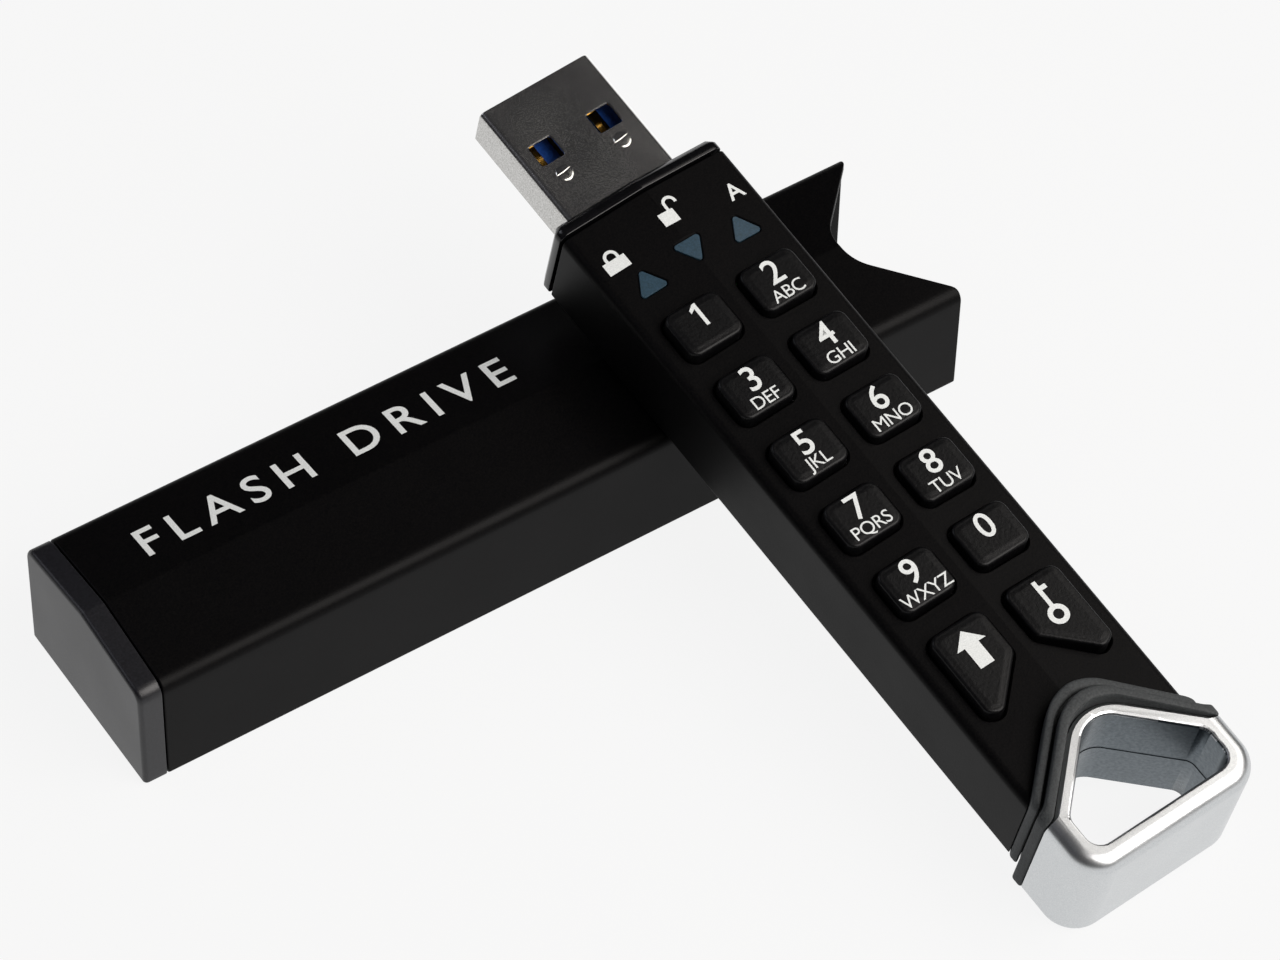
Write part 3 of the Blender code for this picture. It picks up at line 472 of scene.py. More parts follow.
def end_key(side):
    """Corners of a last row's opening, whose rear side slants along the V."""
    inner, outer = COLUMN - KEY_WIDTH / 2, COLUMN + KEY_WIDTH / 2
    nose_y = outer - NOSE_WIDTH
    front = END_ROW - KEY_LENGTH / 2
    slant = SHELL_REAR - VEE_SLOPE * VEE_HALF_WIDTH - END_KEY_TO_VEE
    corners = [
        (front, inner, KEY_CORNER),
        (slant + VEE_SLOPE * inner, inner, KEY_CORNER),
        (slant + VEE_SLOPE * nose_y, nose_y, NOSE_CORNER),
        (slant + VEE_SLOPE * nose_y - NOSE_LENGTH, outer, NOSE_CORNER),
        (front, outer, KEY_CORNER),
    ]
    corners = [(x, side * y, radius) for x, y, radius in corners]
    return corners if side > 0 else corners[::-1]


def window(y, way):
    """Corners of a triangular light window whose apex points along x in the given way."""
    apex = (WINDOW_ROW + way * WINDOW_REACH, y, WINDOW_CORNER)
    base_x = WINDOW_ROW - way * WINDOW_REACH
    return [
        apex,
        (base_x, y + way * WINDOW_HALF_BASE, WINDOW_CORNER),
        (base_x, y - way * WINDOW_HALF_BASE, WINDOW_CORNER),
    ]


WINDOW_ROW = 8.9
WINDOW_REACH = 1.4
WINDOW_HALF_BASE = 1.65
WINDOW_CORNER = 0.35
WINDOW_SPREAD = 5.2
keys = {}
for i, name in enumerate(NAMES):
    keys["key_" + name] = oblong_key(FIRST_ROW + PITCH * (i // 2), COLUMN if i % 2 else -COLUMN)
keys["key_arrow"] = end_key(-1)
keys["key_unlock"] = end_key(1)
windows = {"red": window(-WINDOW_SPREAD, -1), "green": window(0.0, 1), "blue": window(WINDOW_SPREAD, -1)}


def pierce(mesh, rings_of_cutters, place):
    """Cuts closed shapes out of a placed mesh in one exact Boolean."""
    cutter_mesh = bpy.data.meshes.new("cutters")
    shape = bmesh.new()
    for rings in rings_of_cutters:
        part = skin("cutter", rings, place, closed=False)
        shape.from_mesh(part)
    shape.to_mesh(cutter_mesh)
    shape.free()
    holder = bpy.data.objects.new("pierced", mesh)
    cutter = bpy.data.objects.new("cutters", cutter_mesh)
    for item in (holder, cutter):
        bpy.context.scene.collection.objects.link(item)
    difference = holder.modifiers.new("openings", "BOOLEAN")
    difference.operation = "DIFFERENCE"
    difference.solver = "EXACT"
    difference.object = cutter
    bpy.context.view_layer.update()
    result = bpy.data.meshes.new_from_object(holder.evaluated_get(bpy.context.evaluated_depsgraph_get()))
    for item in (holder, cutter):
        bpy.data.objects.remove(item)
    result.shade_smooth()
    result.set_sharp_from_angle(angle=math.radians(32))
    return result


def opening(corners):
    """Rings of a cutter through the roof, flared at the top for the chamfer."""
    levels = ((0.0, -3.0), (0.0, -HOLE_CHAMFER), (-HOLE_CHAMFER - 0.5, 0.5))
    return [[(u, v, roof_height(v) + rise) for u, v in outline(corners, grow)] for grow, rise in levels]


rings = end_rings(SHELL_OUTSIDE, SHELL_RIM, lambda y: SHELL_FRONT, 1)
rings += end_rings(SHELL_OUTSIDE, SHELL_RIM, lambda y: vee(y, SHELL_REAR), -1)
rings += [band(SHELL_BORE, 0.0, lambda y: vee(y, SHELL_REAR)), band(SHELL_BORE, 0.0, lambda y: SHELL_FRONT)]
openings = [opening(corners) for corners in [*keys.values(), *windows.values()]]
body = pierce(skin("drive_body", rings, on_drive), openings, on_drive)
show("drive_body", body, anodised, "drive", "black_anodised", "drive_shell")


# ---- Front bezel -------------------------------------------------------------------------
# A moulded nose plate closes the plug end. Its spigot is pressed into the shell, and its
# front edge is chamfered all round, so it shows as a glossy rim one millimetre wide.
PLUG_MIDDLE = 4.2
BEZEL_DEPTH = 1.4
BEZEL_CHAMFER = 0.55


def slab(half_width, half_height, radius, middle=PLUG_MIDDLE):
    """Corners of the plug's rectangular section, in (across, up)."""
    spots = ((-1, -1), (1, -1), (1, 1), (-1, 1))
    return [(i * half_width, middle + j * half_height, radius) for i, j in spots]


# Gloss black polycarbonate: smooth, so it mirrors the softboxes along its chamfer.
bezel_gloss = grained(
    "gloss_black_polycarbonate", "#060607", "#0b0b0d", 0.5 * MM, 0.001 * MM, 0.22, level=0.30, uneven=0.03
)

spigot = roof(7.75, 1.2, 8.1, 8.7, 0.5)
rings = [
    band(SHELL_OUTSIDE, BEZEL_CHAMFER + 0.1, lambda y: 0.0),
    band(SHELL_OUTSIDE, BEZEL_CHAMFER, lambda y: 0.03),
    band(SHELL_OUTSIDE, 0.06, lambda y: BEZEL_CHAMFER),
    band(SHELL_OUTSIDE, 0.0, lambda y: BEZEL_CHAMFER + 0.12),
]
rings += end_rings(SHELL_OUTSIDE, 0.1, lambda y: BEZEL_DEPTH, -1)
rings += [band(spigot, 0.0, lambda y: BEZEL_DEPTH), band(spigot, 0.0, lambda y: BEZEL_DEPTH + 3.6)]
slot = [[(x, u, v) for u, v in outline(slab(6.2, 2.45, 0.8))] for x in (-2.0, 9.0)]
bezel = pierce(skin("front_rim", rings, on_drive, closed=False), [slot], on_drive)
show("front_rim", bezel, bezel_gloss, "drive", "bezel_plastic", "front_bezel")


# ---- Plug shell --------------------------------------------------------------------------
# The USB plug's shield is folded from thin nickel plated steel. Two latch windows are punched
# through each broad face, and the fold meets in a seam along the underside.
PLUG_FRONT = -14.1
PLUG_REAR = 6.0
PLUG_RADIUS = 0.6
PLUG_WALL = 0.3
PLUG_LIP = 0.12
LATCH_X = -7.8
LATCH_Y = 3.22

# Plated cold-rolled strip: a dull metal with a fine sparkling speckle, not brushed.
steel = grained(
    "nickel_plated_steel_strip", "#a3a29f", "#d6d5d3", 0.13 * MM, 0.003 * MM, 0.21, metallic=1.0, uneven=0.02
)

plug_section = slab(6.0, 2.25, PLUG_RADIUS)


def plug_ring(x, inset):
    """Ring round the plug's section at x."""
    return [(x, u, v) for u, v in outline(plug_section, inset, edge=12)]


rings = [plug_ring(PLUG_FRONT + back, inset) for inset, back in reversed(quarter(PLUG_LIP))]
rings += [plug_ring(PLUG_REAR, 0.0), plug_ring(PLUG_REAR, PLUG_WALL)]
rings += [plug_ring(PLUG_FRONT + back, PLUG_WALL - inset) for inset, back in quarter(PLUG_LIP)]
cutters = []
for side in (-1, 1):
    spots = ((-1, -1), (1, -1), (1, 1), (-1, 1))
    hole = [(LATCH_X + i * 1.15, side * LATCH_Y + j * 1.25, 0.25) for i, j in spots]
    levels = ((-0.60, 6.95), (0.0, 6.35), (0.0, 2.05), (-0.60, 1.45))
    cutters.append([[(u, v, z) for u, v in outline(hole, grow)] for grow, z in levels])
fold = ((-0.04, 1.5), (0.04, 1.5), (0.04, 2.15), (-0.04, 2.15))
cutters.append([[(x, u, v) for u, v in fold] for x in (PLUG_FRONT - 1.0, PLUG_REAR + 1.0)])
shield = pierce(skin("plug_shield", rings, on_drive), cutters, on_drive)
show("plug_shield", shield, steel, "drive", "plug_steel", "plug_shell")


# ---- Keycaps -----------------------------------------------------------------------------
# Twelve rubber-feel keycaps stand through the roof, ten oblong and two cut along the V. All
# are moulded with a flat printed face, a soft shoulder and straight sides.
def inset_disc(name, corners, insets):
    """Flat disc of rings in from an outline, which stores each point's distance from the edge."""
    shape = bmesh.new()
    depth = shape.verts.layers.float.new("inset")
    rows = []
    for inset in insets:
        row = []
        for u, v in outline(corners, KEY_GAP + inset, arc=10):
            vertex = shape.verts.new((u, v, 0.0))
            vertex[depth] = inset
            row.append(vertex)
        rows.append(row)
    for row, after in zip(rows, rows[1:]):
        for i in range(len(row)):
            j = (i + 1) % len(row)
            shape.faces.new((row[i], row[j], after[j], after[i]))
    shape.faces.new(rows[-1])
    mesh = bpy.data.meshes.new(name)
    shape.to_mesh(mesh)
    shape.free()
    return mesh


def open_tree(name, labels):
    """Geometry Nodes tree with a named input for each label, and the inputs' identifiers."""
    tree = bpy.data.node_groups.new(name, "GeometryNodeTree")
    tree.interface.new_socket("Geometry", in_out="INPUT", socket_type="NodeSocketGeometry")
    sockets = {}
    for label in labels:
        kind = "NodeSocketMaterial" if label == "Finish" else "NodeSocketFloat"
        sockets[label] = tree.interface.new_socket(label, in_out="INPUT", socket_type=kind).identifier
    tree.interface.new_socket("Geometry", in_out="OUTPUT", socket_type="NodeSocketGeometry")
    return tree, sockets, add(tree, "NodeGroupInput").outputs


def close_tree(tree, parts, finish):
    """Joins and welds a tree's parts, makes them real and gives them their finish."""
    whole = add(tree, "GeometryNodeJoinGeometry")
    for part in parts:
        tree.links.new(part, whole.inputs[0])
    real = add(tree, "GeometryNodeRealizeInstances", {"Geometry": whole.outputs[0]})
    welded = add(tree, "GeometryNodeMergeByDistance", {"Geometry": real.outputs[0], "Distance": WELD})
    finished = add(tree, "GeometryNodeSetMaterial", {"Geometry": welded.outputs[0], "Material": finish})
    add(tree, "NodeGroupOutput", {"Geometry": finished.outputs[0]})


def grown(name, mesh, tree, values):
    """Plain mesh that a tree makes of a mesh; values gives each input's identifier its value."""
    holder = bpy.data.objects.new(name, mesh)
    bpy.context.scene.collection.objects.link(holder)
    maker = holder.modifiers.new(name, "NODES")
    maker.node_group = tree
    for identifier, value in values.items():
        maker[identifier] = value
    bpy.context.view_layer.update()
    result = bpy.data.meshes.new_from_object(holder.evaluated_get(bpy.context.evaluated_depsgraph_get()))
    bpy.data.objects.remove(holder)
    return result


WELD = 0.001
KEY_GAP = 0.2
KEY_FACE = 10.7
KEY_RINGS = [0.0, 0.015, 0.04, 0.08, 0.13, 0.19, 0.25, 0.30, 0.38, 0.50, 0.62, 0.74, 0.85]
KEY_SIZES = {"Shoulder Radius": 0.30, "Crown Reach": 0.85, "Crown Drop": 0.05, "Height": 3.2}

# Soft-touch moulding with a leather grain, a third of a millimetre across, etched in the tool.
key_rubber = grained(
    "black_silicone_leather_grain", "#040405", "#0c0c0d", 0.30 * MM, 0.020 * MM, 0.38, level=0.16, uneven=0.03
)

tree, sockets, given = open_tree("keycap", [*KEY_SIZES, "Finish"])
stored = add(tree, "GeometryNodeInputNamedAttribute", {"Name": "inset"}, data_type="FLOAT")
inset = stored.outputs["Attribute"]
radius = given["Shoulder Radius"]
past = add(tree, "ShaderNodeMath", {0: radius, 1: inset}, operation="SUBTRACT")
short = add(tree, "ShaderNodeMath", {0: past.outputs[0], 1: 0.0}, operation="MAXIMUM")
short_squared = add(tree, "ShaderNodeMath", {0: short.outputs[0], 1: 2.0}, operation="POWER")
radius_squared = add(tree, "ShaderNodeMath", {0: radius, 1: 2.0}, operation="POWER")
chord_squared = add(
    tree, "ShaderNodeMath", {0: radius_squared.outputs[0], 1: short_squared.outputs[0]}, operation="SUBTRACT"
)
chord = add(tree, "ShaderNodeMath", {0: chord_squared.outputs[0]}, operation="SQRT")
shoulder = add(tree, "ShaderNodeMath", {0: chord.outputs[0], 1: radius}, operation="SUBTRACT")
crown = add(tree, "ShaderNodeMapRange", {
    "Value": inset, "From Min": radius, "From Max": given["Crown Reach"],
    "To Min": given["Crown Drop"], "To Max": 0.0,
}, interpolation_type="SMOOTHSTEP")
level_top = add(
    tree, "ShaderNodeMath", {0: shoulder.outputs[0], 1: crown.outputs["Result"]}, operation="SUBTRACT"
)
rise = add(tree, "ShaderNodeCombineXYZ", {"Z": level_top.outputs[0]})
top = add(tree, "GeometryNodeSetPosition", {"Geometry": given["Geometry"], "Offset": rise.outputs[0]})
foot = add(tree, "ShaderNodeMath", {0: given["Height"], 1: -1.0}, operation="MULTIPLY")
down = add(tree, "ShaderNodeCombineXYZ", {"Z": foot.outputs[0]})
base = add(tree, "GeometryNodeTransform", {"Geometry": given["Geometry"], "Translation": down.outputs[0]})
flipped = add(tree, "GeometryNodeFlipFaces", {"Mesh": base.outputs[0]})
outer_edge = add(tree, "ShaderNodeMath", {0: inset, 1: WELD}, operation="LESS_THAN")
drop = add(tree, "ShaderNodeMath", {0: foot.outputs[0], 1: level_top.outputs[0]}, operation="SUBTRACT")
fall = add(tree, "ShaderNodeCombineXYZ", {"Z": drop.outputs[0]})
sides = add(tree, "GeometryNodeExtrudeMesh", {
    "Mesh": top.outputs[0], "Selection": outer_edge.outputs[0],
    "Offset": fall.outputs[0], "Offset Scale": 1.0,
}, mode="EDGES")
close_tree(tree, (sides.outputs["Mesh"], flipped.outputs[0]), given["Finish"])

for name, corners in keys.items():
    values = {sockets[label]: size for label, size in KEY_SIZES.items()}
    values[sockets["Finish"]] = key_rubber
    mesh = grown(name + "_cap", inset_disc(name + "_disc", corners, KEY_RINGS), tree, values)
    mesh.transform(Matrix.Translation((0.0, 0.0, KEY_FACE)))
    show(name + "_cap", settle(mesh, on_drive), key_rubber, name, "key_plastic", name)


# ---- Key legends -------------------------------------------------------------------------
# Digits and telephone letters are printed on the keycaps in white, with an arrow and a key
# symbol on the last two. Each print belongs to its own key and goes down with it.
def symbol(name, outlines, place, thickness=0.02):
    """Mesh of a flat symbol: closed outlines in (across, up), the inner ones cutting holes."""
    curve = bpy.data.curves.new(name, "CURVE")
    curve.dimensions = "2D"
    curve.fill_mode = "BOTH"
    curve.extrude = thickness / 2
    for points in outlines:
        spline = curve.splines.new("POLY")
        spline.points.add(len(points) - 1)
        for point, (u, v) in zip(spline.points, points):
            point.co = (u, v, 0.0, 1.0)
        spline.use_cyclic_u = True
    return flat_mesh(name, curve, place)


def facing_plug(x, y, z):
    """Place for a print whose top points to the plug."""
    return on_drive @ Matrix.Translation(Vector((x, y, z)) * MM) @ Matrix.Rotation(math.pi / 2, 4, "Z")


def arc_points(radius, first, last, count, middle=(0.0, 0.0)):
    """Points along an arc, both ends included."""
    angles = [first + (last - first) * k / count for k in range(count + 1)]
    return [(middle[0] + radius * math.cos(a), middle[1] + radius * math.sin(a)) for a in angles]


DIGIT_HEIGHT = 2.4
LETTER_HEIGHT = 1.25
DIGIT_ABOVE = 0.85
LETTERS_BELOW = 1.4
PRINT_LEVEL = KEY_FACE + 0.004

# The figure one has a slanted flag and no foot, which the plain typeface does not give it.
ONE = [(0.02, -1.2), (0.38, -1.2), (0.38, 1.2), (0.10, 1.2), (-0.48, 0.78), (-0.48, 0.40), (0.02, 0.70)]

for i, name in enumerate(NAMES):
    x = FIRST_ROW + PITCH * (i // 2)
    y = COLUMN if i % 2 else -COLUMN
    spot = facing_plug(x - DIGIT_ABOVE, y, PRINT_LEVEL)
    if name == "1":
        digit = symbol("print_1", [ONE], spot)
    else:
        digit = printed("print_" + name, name, DIGIT_HEIGHT, spot, weight=0.03)
    show("print_" + name, digit, ink, "key_" + name, "key_plastic")
    if LETTERS[i]:
        letters = printed(
            "print_letters_" + name, LETTERS[i], LETTER_HEIGHT,
            facing_plug(x + LETTERS_BELOW, y, PRINT_LEVEL), spacing=0.95,
        )
        show("print_letters_" + name, letters, ink, "key_" + name, "key_plastic")

arrow = [(-0.75, -1.9), (0.75, -1.9), (0.75, 0.35), (1.55, 0.35), (0.0, 1.9), (-1.55, 0.35), (-0.75, 0.35)]
arrow_print = symbol("print_arrow", [arrow], facing_plug(53.45, -COLUMN, PRINT_LEVEL))
show("print_arrow", arrow_print, ink, "key_arrow", "key_plastic")
stem_turn = math.asin(0.21 / 0.98)
bow = arc_points(0.98, math.pi / 2 + stem_turn, 2.5 * math.pi - stem_turn, 32)
blade = [(0.21, 2.55), (0.80, 2.55), (0.80, 3.0), (0.21, 3.0), (0.21, 3.6), (-0.21, 3.6)]
key_symbol = symbol(
    "print_key", [bow + blade, arc_points(0.5, 0.0, math.tau, 24)[:-1]],
    facing_plug(53.6, COLUMN, PRINT_LEVEL),
)
show("print_key", key_symbol, ink, "key_unlock", "key_plastic")


# ---- Light windows and their symbols -----------------------------------------------------
# Three triangular light pipes sit flush in the roof ahead of the keys, moulded in smoky blue
# acrylic. A closed padlock, an open one and a letter are printed above them.
WINDOW_GAP = 0.06
WINDOW_DEPTH = 4.0

# Translucent acrylic with a dispersed tint: it looks solid slate blue while its light is off.
acrylic_blue = grained("smoky_blue_acrylic", "#22353f", "#2e4555", 0.20 * MM, 0.003 * MM, 0.35)

for colour, corners in windows.items():
    levels = ((WINDOW_GAP, -WINDOW_DEPTH), (WINDOW_GAP, -0.06), (WINDOW_GAP + 0.04, -0.02))
    rings = [[(u, v, roof_height(v) + rise) for u, v in outline(corners, inset)] for inset, rise in levels]
    pipe = skin("light_pipe_" + colour, rings, on_drive, closed=False)
    show("light_pipe_" + colour, pipe, acrylic_blue, "drive", "blue_window", "window_" + colour)


def roof_place(x, y):
    """Place for a print on a slope of the roof, with its top to the plug."""
    lean = math.copysign(math.atan2(SHELL_RIDGE - SHELL_SIDE, VEE_HALF_WIDTH), y)
    on_roof = on_drive @ Matrix.Translation(Vector((x, y, roof_height(y) + 0.006)) * MM)
    return on_roof @ Matrix.Rotation(-lean, 4, "X") @ Matrix.Rotation(math.pi / 2, 4, "Z")


def padlock(half_width, base, shift, lift, right_leg):
    """A padlock's case and shackle as two closed outlines; the right leg ends at its own height."""
    case = [(-half_width, base), (half_width, base), (half_width, 0.0), (-half_width, 0.0)]
    over = arc_points(0.72, 0.0, math.pi, 12, (shift, lift))
    back = arc_points(0.42, math.pi, 0.0, 12, (shift, lift))
    left_leg = [(shift - 0.72, 0.0), (shift - 0.42, 0.0)]
    arch = [(shift + 0.72, right_leg), *over, *left_leg, *back, (shift + 0.42, right_leg)]
    return [case, arch]


locked = symbol("print_locked", padlock(1.15, -1.28, 0.0, 0.25, 0.0), roof_place(5.75, -6.45))
show("print_locked", locked, ink, "drive", "key_plastic")
unlocked = symbol("print_unlocked", padlock(0.83, -1.36, 0.98, 0.55, 0.40), roof_place(4.39, 0.585))
show("print_unlocked", unlocked, ink, "drive", "key_plastic")
letter = printed("print_letter_a", "A", 1.65, roof_place(5.75, 6.9), weight=0.03)
show("print_letter_a", letter, ink, "drive", "key_plastic")


# ---- Rear gasket -------------------------------------------------------------------------
# One moulded rubber part seals the drive in its sleeve. A rib squeezes into the bore, a neck
# leaves a groove behind it, and a flange meets the sleeve's sawn mouth.
GASKET_FRONT = 67.45
RIB_REAR = 68.5
FLANGE_FRONT = 68.85
FLANGE_REAR = 70.05
LIFT = 1.0
STEP_EDGE = 0.3
MOUTH_EDGE = 0.25
RIB = roof(9.05, -0.1, 10.5, 11.8, 0.9)
NECK = roof(8.30, 0.6, 9.8, 11.1, 0.5)
FLANGE = roof(SLEEVE_HALF_WIDTH, -LIFT, SLEEVE_SIDE - LIFT, SLEEVE_RIDGE - LIFT, 1.3)
SPIGOT_HOLE = roof(5.3, 1.3, 6.9, 6.9 + 0.001, 0.3, 0.3)

# Nitrile rubber, left as moulded: dead matt dark grey with a dusty grain.
nitrile = grained("grey_nitrile_rubber", "#2c2e2f", "#3f4243", 0.18 * MM, 0.010 * MM, 0.68, level=0.35)

rings = [band(SPIGOT_HOLE, 0.0, lambda y: vee(y, GASKET_FRONT))]
rings += end_rings(RIB, STEP_EDGE, lambda y: vee(y, GASKET_FRONT), 1)
rings += end_rings(RIB, STEP_EDGE, lambda y: vee(y, RIB_REAR), -1)
rings += [band(NECK, 0.0, lambda y: vee(y, RIB_REAR)), band(NECK, 0.0, lambda y: vee(y, FLANGE_FRONT))]
rings += end_rings(FLANGE, STEP_EDGE, lambda y: vee(y, FLANGE_FRONT), 1)
rings += end_rings(FLANGE, MOUTH_EDGE, lambda y: vee(y, FLANGE_REAR), -1)
rings += [band(SPIGOT_HOLE, 0.0, lambda y: vee(y, FLANGE_REAR))]
show("gasket", skin("gasket", rings, on_drive), nitrile, "drive", "grey_rubber", "rear_gasket")


# ---- Key loop ----------------------------------------------------------------------------
# The carrying loop is die cast in zinc alloy, tumbled smooth and satin chromed. Its hole has
# five sides and a parting line at half height, and its outer edges are broadly rounded.
LOOP_FRONT = 70.2
LOOP_REAR = 76.4
LOOP_BASE = -1.0
LOOP_TOP = 11.4
LOOP_EDGE = 1.45
LOOP_WALL = 2.2
LOOP_FOOT_EDGE = 0.8
LOOP_CORNER = 3.2
LOOP_SIDE = SLEEVE_HALF_WIDTH - LOOP_WALL
FRONT_WALL = 1.75
VEE_FLARE = 0.35

# Satin chrome on a tumbled casting: a soft silver with a barely visible cloudy grain.
chrome = grained(
    "satin_chromed_zinc_casting", "#c3c6c8", "#d4d6d7", 0.12 * MM, 0.003 * MM, 0.33, metallic=1.0, uneven=0.03
)

# The walls inside the hole get a darker, cloudier copy of the chrome: painted shade for the dim reflections
# inside the hole.
shaded_hole_chrome = grained(
    "satin_chrome_painted_shade_in_hole", "#565d62", "#6a7176", 0.30 * MM, 0.004 * MM, 0.30, metallic=1.0
)

outside = [
    (LOOP_FRONT - 12.0, -SLEEVE_HALF_WIDTH, 0.0),
    (LOOP_REAR, -SLEEVE_HALF_WIDTH, LOOP_CORNER),
    (LOOP_REAR, SLEEVE_HALF_WIDTH, LOOP_CORNER),
    (LOOP_FRONT - 12.0, SLEEVE_HALF_WIDTH, 0.0),
]
loop_apex = LOOP_FRONT - VEE_SLOPE * VEE_HALF_WIDTH
apex = loop_apex + FRONT_WALL
knee = apex + VEE_SLOPE * LOOP_SIDE
hole = [
    (apex, 0.0, 2.8), (knee, -LOOP_SIDE, 1.4), (LOOP_REAR - LOOP_WALL, -LOOP_SIDE, 1.4),
    (LOOP_REAR - LOOP_WALL, LOOP_SIDE, 1.4), (knee, LOOP_SIDE, 1.4),
]


def loop_ring(corners, inset, z, shares):
    """Level ring round the loop; shares gives the part of the inset that each edge takes."""
    return [(u, v, z) for u, v in outline(corners, [inset * share for share in shares], arc=16, edge=2)]


OUTER_SHARES = [1.0, 1.0, 1.0, 0.0]
HOLE_SHARES = [1.0] * 5
HOLE_LEVELS = (
    (-0.90, LOOP_TOP + 0.6), (-0.30, LOOP_TOP), (-0.12, LOOP_TOP - 0.10), (0.0, LOOP_TOP - 0.32),
    (0.10, 5.32), (0.16, 5.24), (0.16, 5.16), (0.10, 5.08),
    (0.0, LOOP_BASE + 0.32), (-0.12, LOOP_BASE + 0.10), (-0.30, LOOP_BASE), (-0.90, LOOP_BASE - 0.6),
)


def inside(spot, points):
    """Whether a spot lies inside a closed outline."""
    crossings = 0
    for first, second in zip(points, points[1:] + points[:1]):
        if (first.y > spot.y) != (second.y > spot.y):
            reach = first.x + (spot.y - first.y) * (second.x - first.x) / (second.y - first.y)
            crossings += reach > spot.x
    return crossings % 2 == 1


rings = [
    loop_ring(outside, inset, LOOP_TOP - back, OUTER_SHARES) for inset, back in reversed(quarter(LOOP_EDGE, 8))
]
rings += [
    loop_ring(outside, inset, LOOP_BASE + back, OUTER_SHARES) for inset, back in quarter(LOOP_FOOT_EDGE, 6)
]
through = [loop_ring(hole, inset, z, HOLE_SHARES) for inset, z in HOLE_LEVELS]
in_front = [
    (LOOP_FRONT - 20.0, -12.0, 0.0), (LOOP_FRONT, -12.0, 0.0),
    (LOOP_FRONT, -VEE_HALF_WIDTH, VEE_FOOT_RADIUS), (loop_apex, 0.0, VEE_APEX_RADIUS),
    (LOOP_FRONT, VEE_HALF_WIDTH, VEE_FOOT_RADIUS), (LOOP_FRONT, 12.0, 0.0), (LOOP_FRONT - 20.0, 12.0, 0.0),
]
FLARES = (
    (VEE_FLARE, LOOP_TOP + 0.4), (VEE_FLARE, LOOP_TOP), (0.0, LOOP_TOP - VEE_FLARE), (0.0, LOOP_BASE - 0.6),
)
FLARE_SHARES = [0.0, 0.0, 1.0, 1.0, 0.0, 0.0, 0.0]
vee_cut = [loop_ring(in_front, -flare, z, FLARE_SHARES) for flare, z in FLARES]
loop = pierce(skin("loop", rings, on_drive, closed=False), [through, vee_cut], on_drive)
off_drive = on_drive.inverted()
# Faces on the hole's walls, apart from those facing up or down, get the darker chrome of painted shade.
hole_outline = [Vector((u, v)) for u, v in outline(hole, -0.06, arc=16, edge=2)]
for face in loop.polygons:
    spot = off_drive @ face.center / MM
    faces_up_or_down = abs(face.normal.dot(out_of_keypad)) > 0.9
    face.material_index = int(inside(spot.xy, hole_outline) and not faces_up_or_down)
show("loop", loop, [chrome, shaded_hole_chrome], "drive", "satin_cast_metal", "key_loop")


# ---- Plug tongue and contacts ------------------------------------------------------------
# A blue plastic tongue carries four flat contacts at the plug's mouth and five sprung ones
# behind them, all stamped from phosphor bronze strip, plated with gold and moulded in.
# Glass-filled nylon in the blue that marks a fast port, dull and slightly mottled.
nylon = grained("blue_glass_filled_nylon", "#0d3a86", "#1a4ea0", 0.25 * MM, 0.006 * MM, 0.45)
# Flash gold over bright nickel: nearly a mirror, with faint rolling streaks in its gloss. Its colour is set
# far darker than bright gold, as painted shade for the dark inside of the plug.
gold_in_painted_shade = grained("gold_plating_painted_shade", "#93702c", "#ab8440", 0.30 * MM, 0.001 * MM, 0.22, metallic=1.0)

LEAF_SIZES = {"Length": 1.0, "Width": 1.0, "Crown": 0.1, "Thickness": 0.1}
leaf_tree, leaf_sockets, given = open_tree("leaf_contacts", [*LEAF_SIZES, "Finish"])
sheet = add(leaf_tree, "GeometryNodeMeshGrid", {
    "Size X": given["Length"], "Size Y": given["Width"], "Vertices X": 17, "Vertices Y": 3,
}).outputs["Mesh"]
spot = add(leaf_tree, "ShaderNodeSeparateXYZ", {0: add(leaf_tree, "GeometryNodeInputPosition").outputs[0]})
share = add(leaf_tree, "ShaderNodeMath", {0: spot.outputs["X"], 1: given["Length"]}, operation="DIVIDE")
bend = add(leaf_tree, "ShaderNodeMath", {0: share.outputs[0], 1: math.pi}, operation="MULTIPLY")
arch = add(leaf_tree, "ShaderNodeMath", {0: bend.outputs[0]}, operation="COSINE")
lift = add(leaf_tree, "ShaderNodeMath", {0: arch.outputs[0], 1: given["Crown"]}, operation="MULTIPLY")
lifted = add(leaf_tree, "ShaderNodeCombineXYZ", {"Z": lift.outputs[0]})
leaf = add(leaf_tree, "GeometryNodeSetPosition", {"Geometry": sheet, "Offset": lifted.outputs[0]})
thick = add(leaf_tree, "ShaderNodeCombineXYZ", {"Z": given["Thickness"]})
upper = add(leaf_tree, "GeometryNodeExtrudeMesh", {
    "Mesh": leaf.outputs[0], "Offset": thick.outputs[0], "Offset Scale": 1.0, "Individual": False,
}, mode="FACES")
lower = add(leaf_tree, "GeometryNodeFlipFaces", {"Mesh": leaf.outputs[0]})
pair = add(leaf_tree, "GeometryNodeJoinGeometry")
leaf_tree.links.new(upper.outputs["Mesh"], pair.inputs[0])
leaf_tree.links.new(lower.outputs[0], pair.inputs[0])
row = add(
    leaf_tree, "GeometryNodeInstanceOnPoints", {"Points": given["Geometry"], "Instance": pair.outputs[0]}
)
close_tree(leaf_tree, (row.outputs[0],), given["Finish"])


def contact_row(name, x, z, places, sizes, nodes):
    """One row of leaf contacts across the tongue."""
    points = bpy.data.meshes.new(name + "_places")
    points.from_pydata([(x, y, z) for y in places], [], [])
    values = {leaf_sockets[label]: size for label, size in sizes.items()}
    values[leaf_sockets["Finish"]] = gold_in_painted_shade
    mesh = grown(name, points, leaf_tree, values)
    show(name, settle(mesh, on_drive), gold_in_painted_shade, "drive", "gold_contact", *nodes)


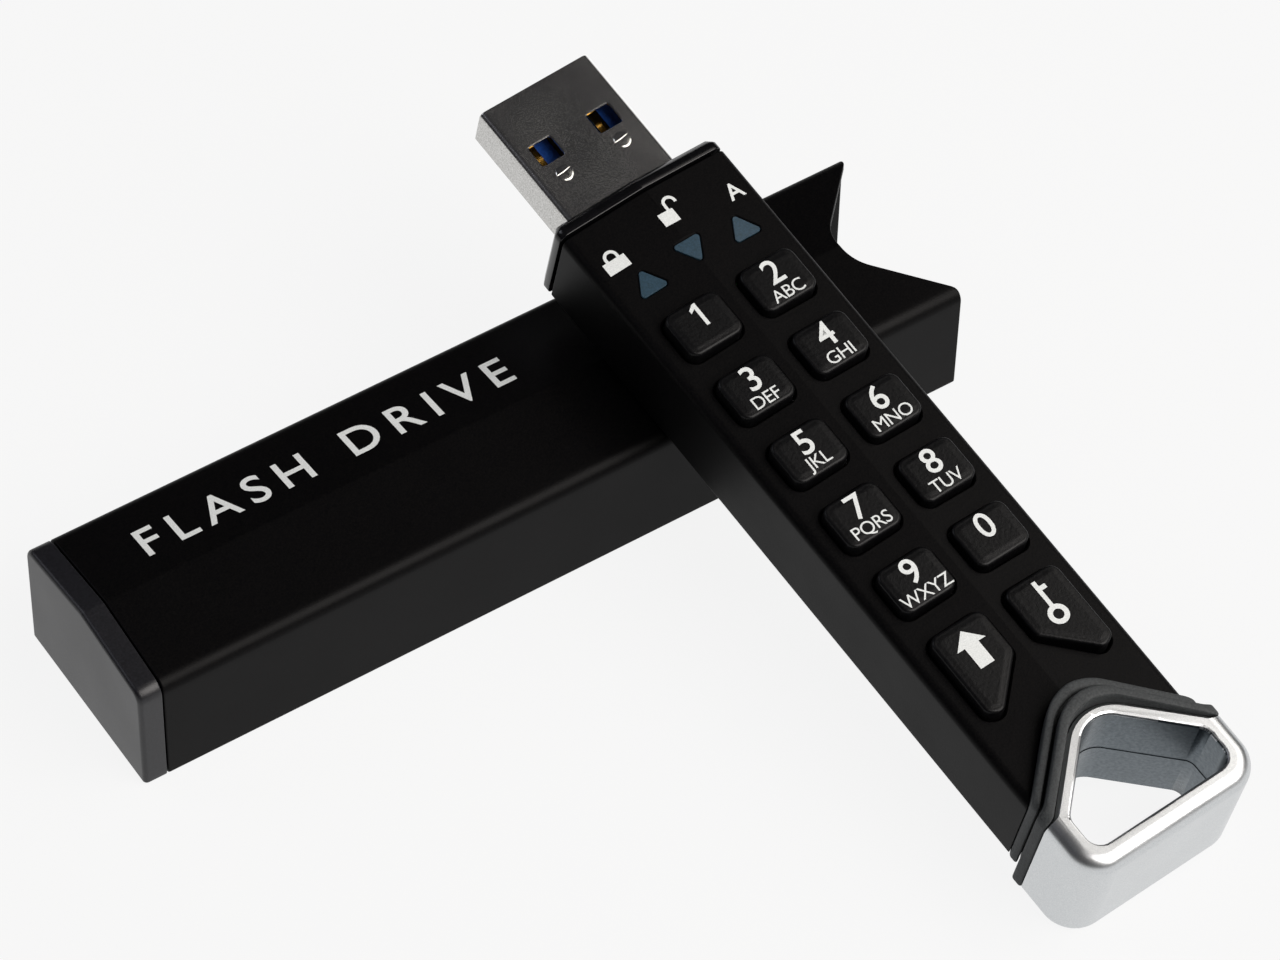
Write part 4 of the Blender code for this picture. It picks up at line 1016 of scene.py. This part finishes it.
TONGUE_TOP = 4.32
contact_row(
    "flat_contacts", -10.1, TONGUE_TOP - 0.02, (-3.5, -1.0, 1.0, 3.5),
    {"Length": 6.0, "Width": 1.0, "Crown": 0.03, "Thickness": 0.12},
    [f"flat_contact_{i}" for i in range(1, 5)],
)
contact_row(
    "spring_contacts", -5.5, TONGUE_TOP - 0.02, (-4.0, -2.0, 0.0, 2.0, 4.0),
    {"Length": 1.8, "Width": 0.6, "Crown": 0.35, "Thickness": 0.12},
    [f"spring_contact_{i}" for i in range(1, 6)],
)
frame["nodes"]["plug_tongue"].data.materials.clear()
frame["nodes"]["plug_tongue"].data.materials.append(nylon)


# ---- Plug stakes -------------------------------------------------------------------------
# Behind each latch window a tab of the shield is punched down to hold the tongue. It shows as
# a small bright disc with a bent slit across it.
STAKE_X = -5.1
STAKE_RADIUS = 0.80
STAKE_RISE = 0.07
PLUG_FACE = 6.45
STAKE_LEVELS = (
    (0.0, -0.05), (0.0, 0.02), (0.06, STAKE_RISE - 0.01), (0.16, STAKE_RISE), (0.5, STAKE_RISE + 0.02),
)
SLIT = [
    (-0.95, -0.10), (-0.15, -0.14), (0.0, -0.42), (0.28, -0.42), (0.14, -0.08),
    (0.9, 0.12), (0.9, 0.30), (-0.05, 0.14), (-0.95, 0.08),
]
# The punch burnishes the plating, so each disc is brighter and smoother than the strip.
burnished = grained("burnished_nickel_plate", "#c9c8c4", "#e4e3df", 0.10 * MM, 0.002 * MM, 0.18, metallic=1.0)

for name, side in (("left", -1), ("right", 1)):
    middle = (STAKE_X, side * LATCH_Y)
    rings = [
        [(x, y, PLUG_FACE + z) for x, y in arc_points(STAKE_RADIUS - inset, 0.0, math.tau, 48, middle)[:-1]]
        for inset, z in STAKE_LEVELS
    ]
    cutter = [[(STAKE_X - v, side * LATCH_Y + u, z) for u, v in SLIT] for z in (6.0, 7.0)]
    stake = pierce(skin("plug_stake_" + name, rings, on_drive, closed=False), [cutter], on_drive)
    show("plug_stake_" + name, stake, burnished, "drive", "plug_steel")


# ---- Parts inside ------------------------------------------------------------------------
# The board with its chips, crystal, lights and pouch battery, and the rubber mat that springs
# the keys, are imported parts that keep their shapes. They show only through gaps and seams.
def refinish(material, *nodes):
    """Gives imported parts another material."""
    for node in nodes:
        materials = frame["nodes"][node].data.materials
        materials.clear()
        materials.append(material)


# Solder mask over glass cloth: a clear green gloss, slightly uneven.
refinish(grained("green_solder_mask", "#0c4a26", "#15602f", 0.40 * MM, 0.004 * MM, 0.35), "circuit_board")
# Moulded epoxy: charcoal with a fine dusty texture.
epoxy = grained("moulded_epoxy_package", "#1a1a1a", "#2a2a2a", 0.15 * MM, 0.005 * MM, 0.55)
refinish(epoxy, "memory_chip_front", "memory_chip_rear", "controller_chip")
# Aluminium laminate and drawn metal can: a bright skin with shallow creases.
laminate = grained("aluminium_laminate_foil", "#8e9093", "#b4b6b8", 0.80 * MM, 0.030 * MM, 0.40, metallic=1.0)
refinish(laminate, "battery", "crystal")
# Clear epoxy over a pale ceramic base, a little milky.
milky_epoxy = grained("milky_led_epoxy", "#c8c8b4", "#e2e2d4", 0.20 * MM, 0.003 * MM, 0.35)
refinish(milky_epoxy, "light_red", "light_green", "light_blue")
# Translucent silicone sheet, dusted with talc.
refinish(grained("talced_grey_silicone", "#6a6a6e", "#86868a", 0.25 * MM, 0.006 * MM, 0.60), "keypad_mat")
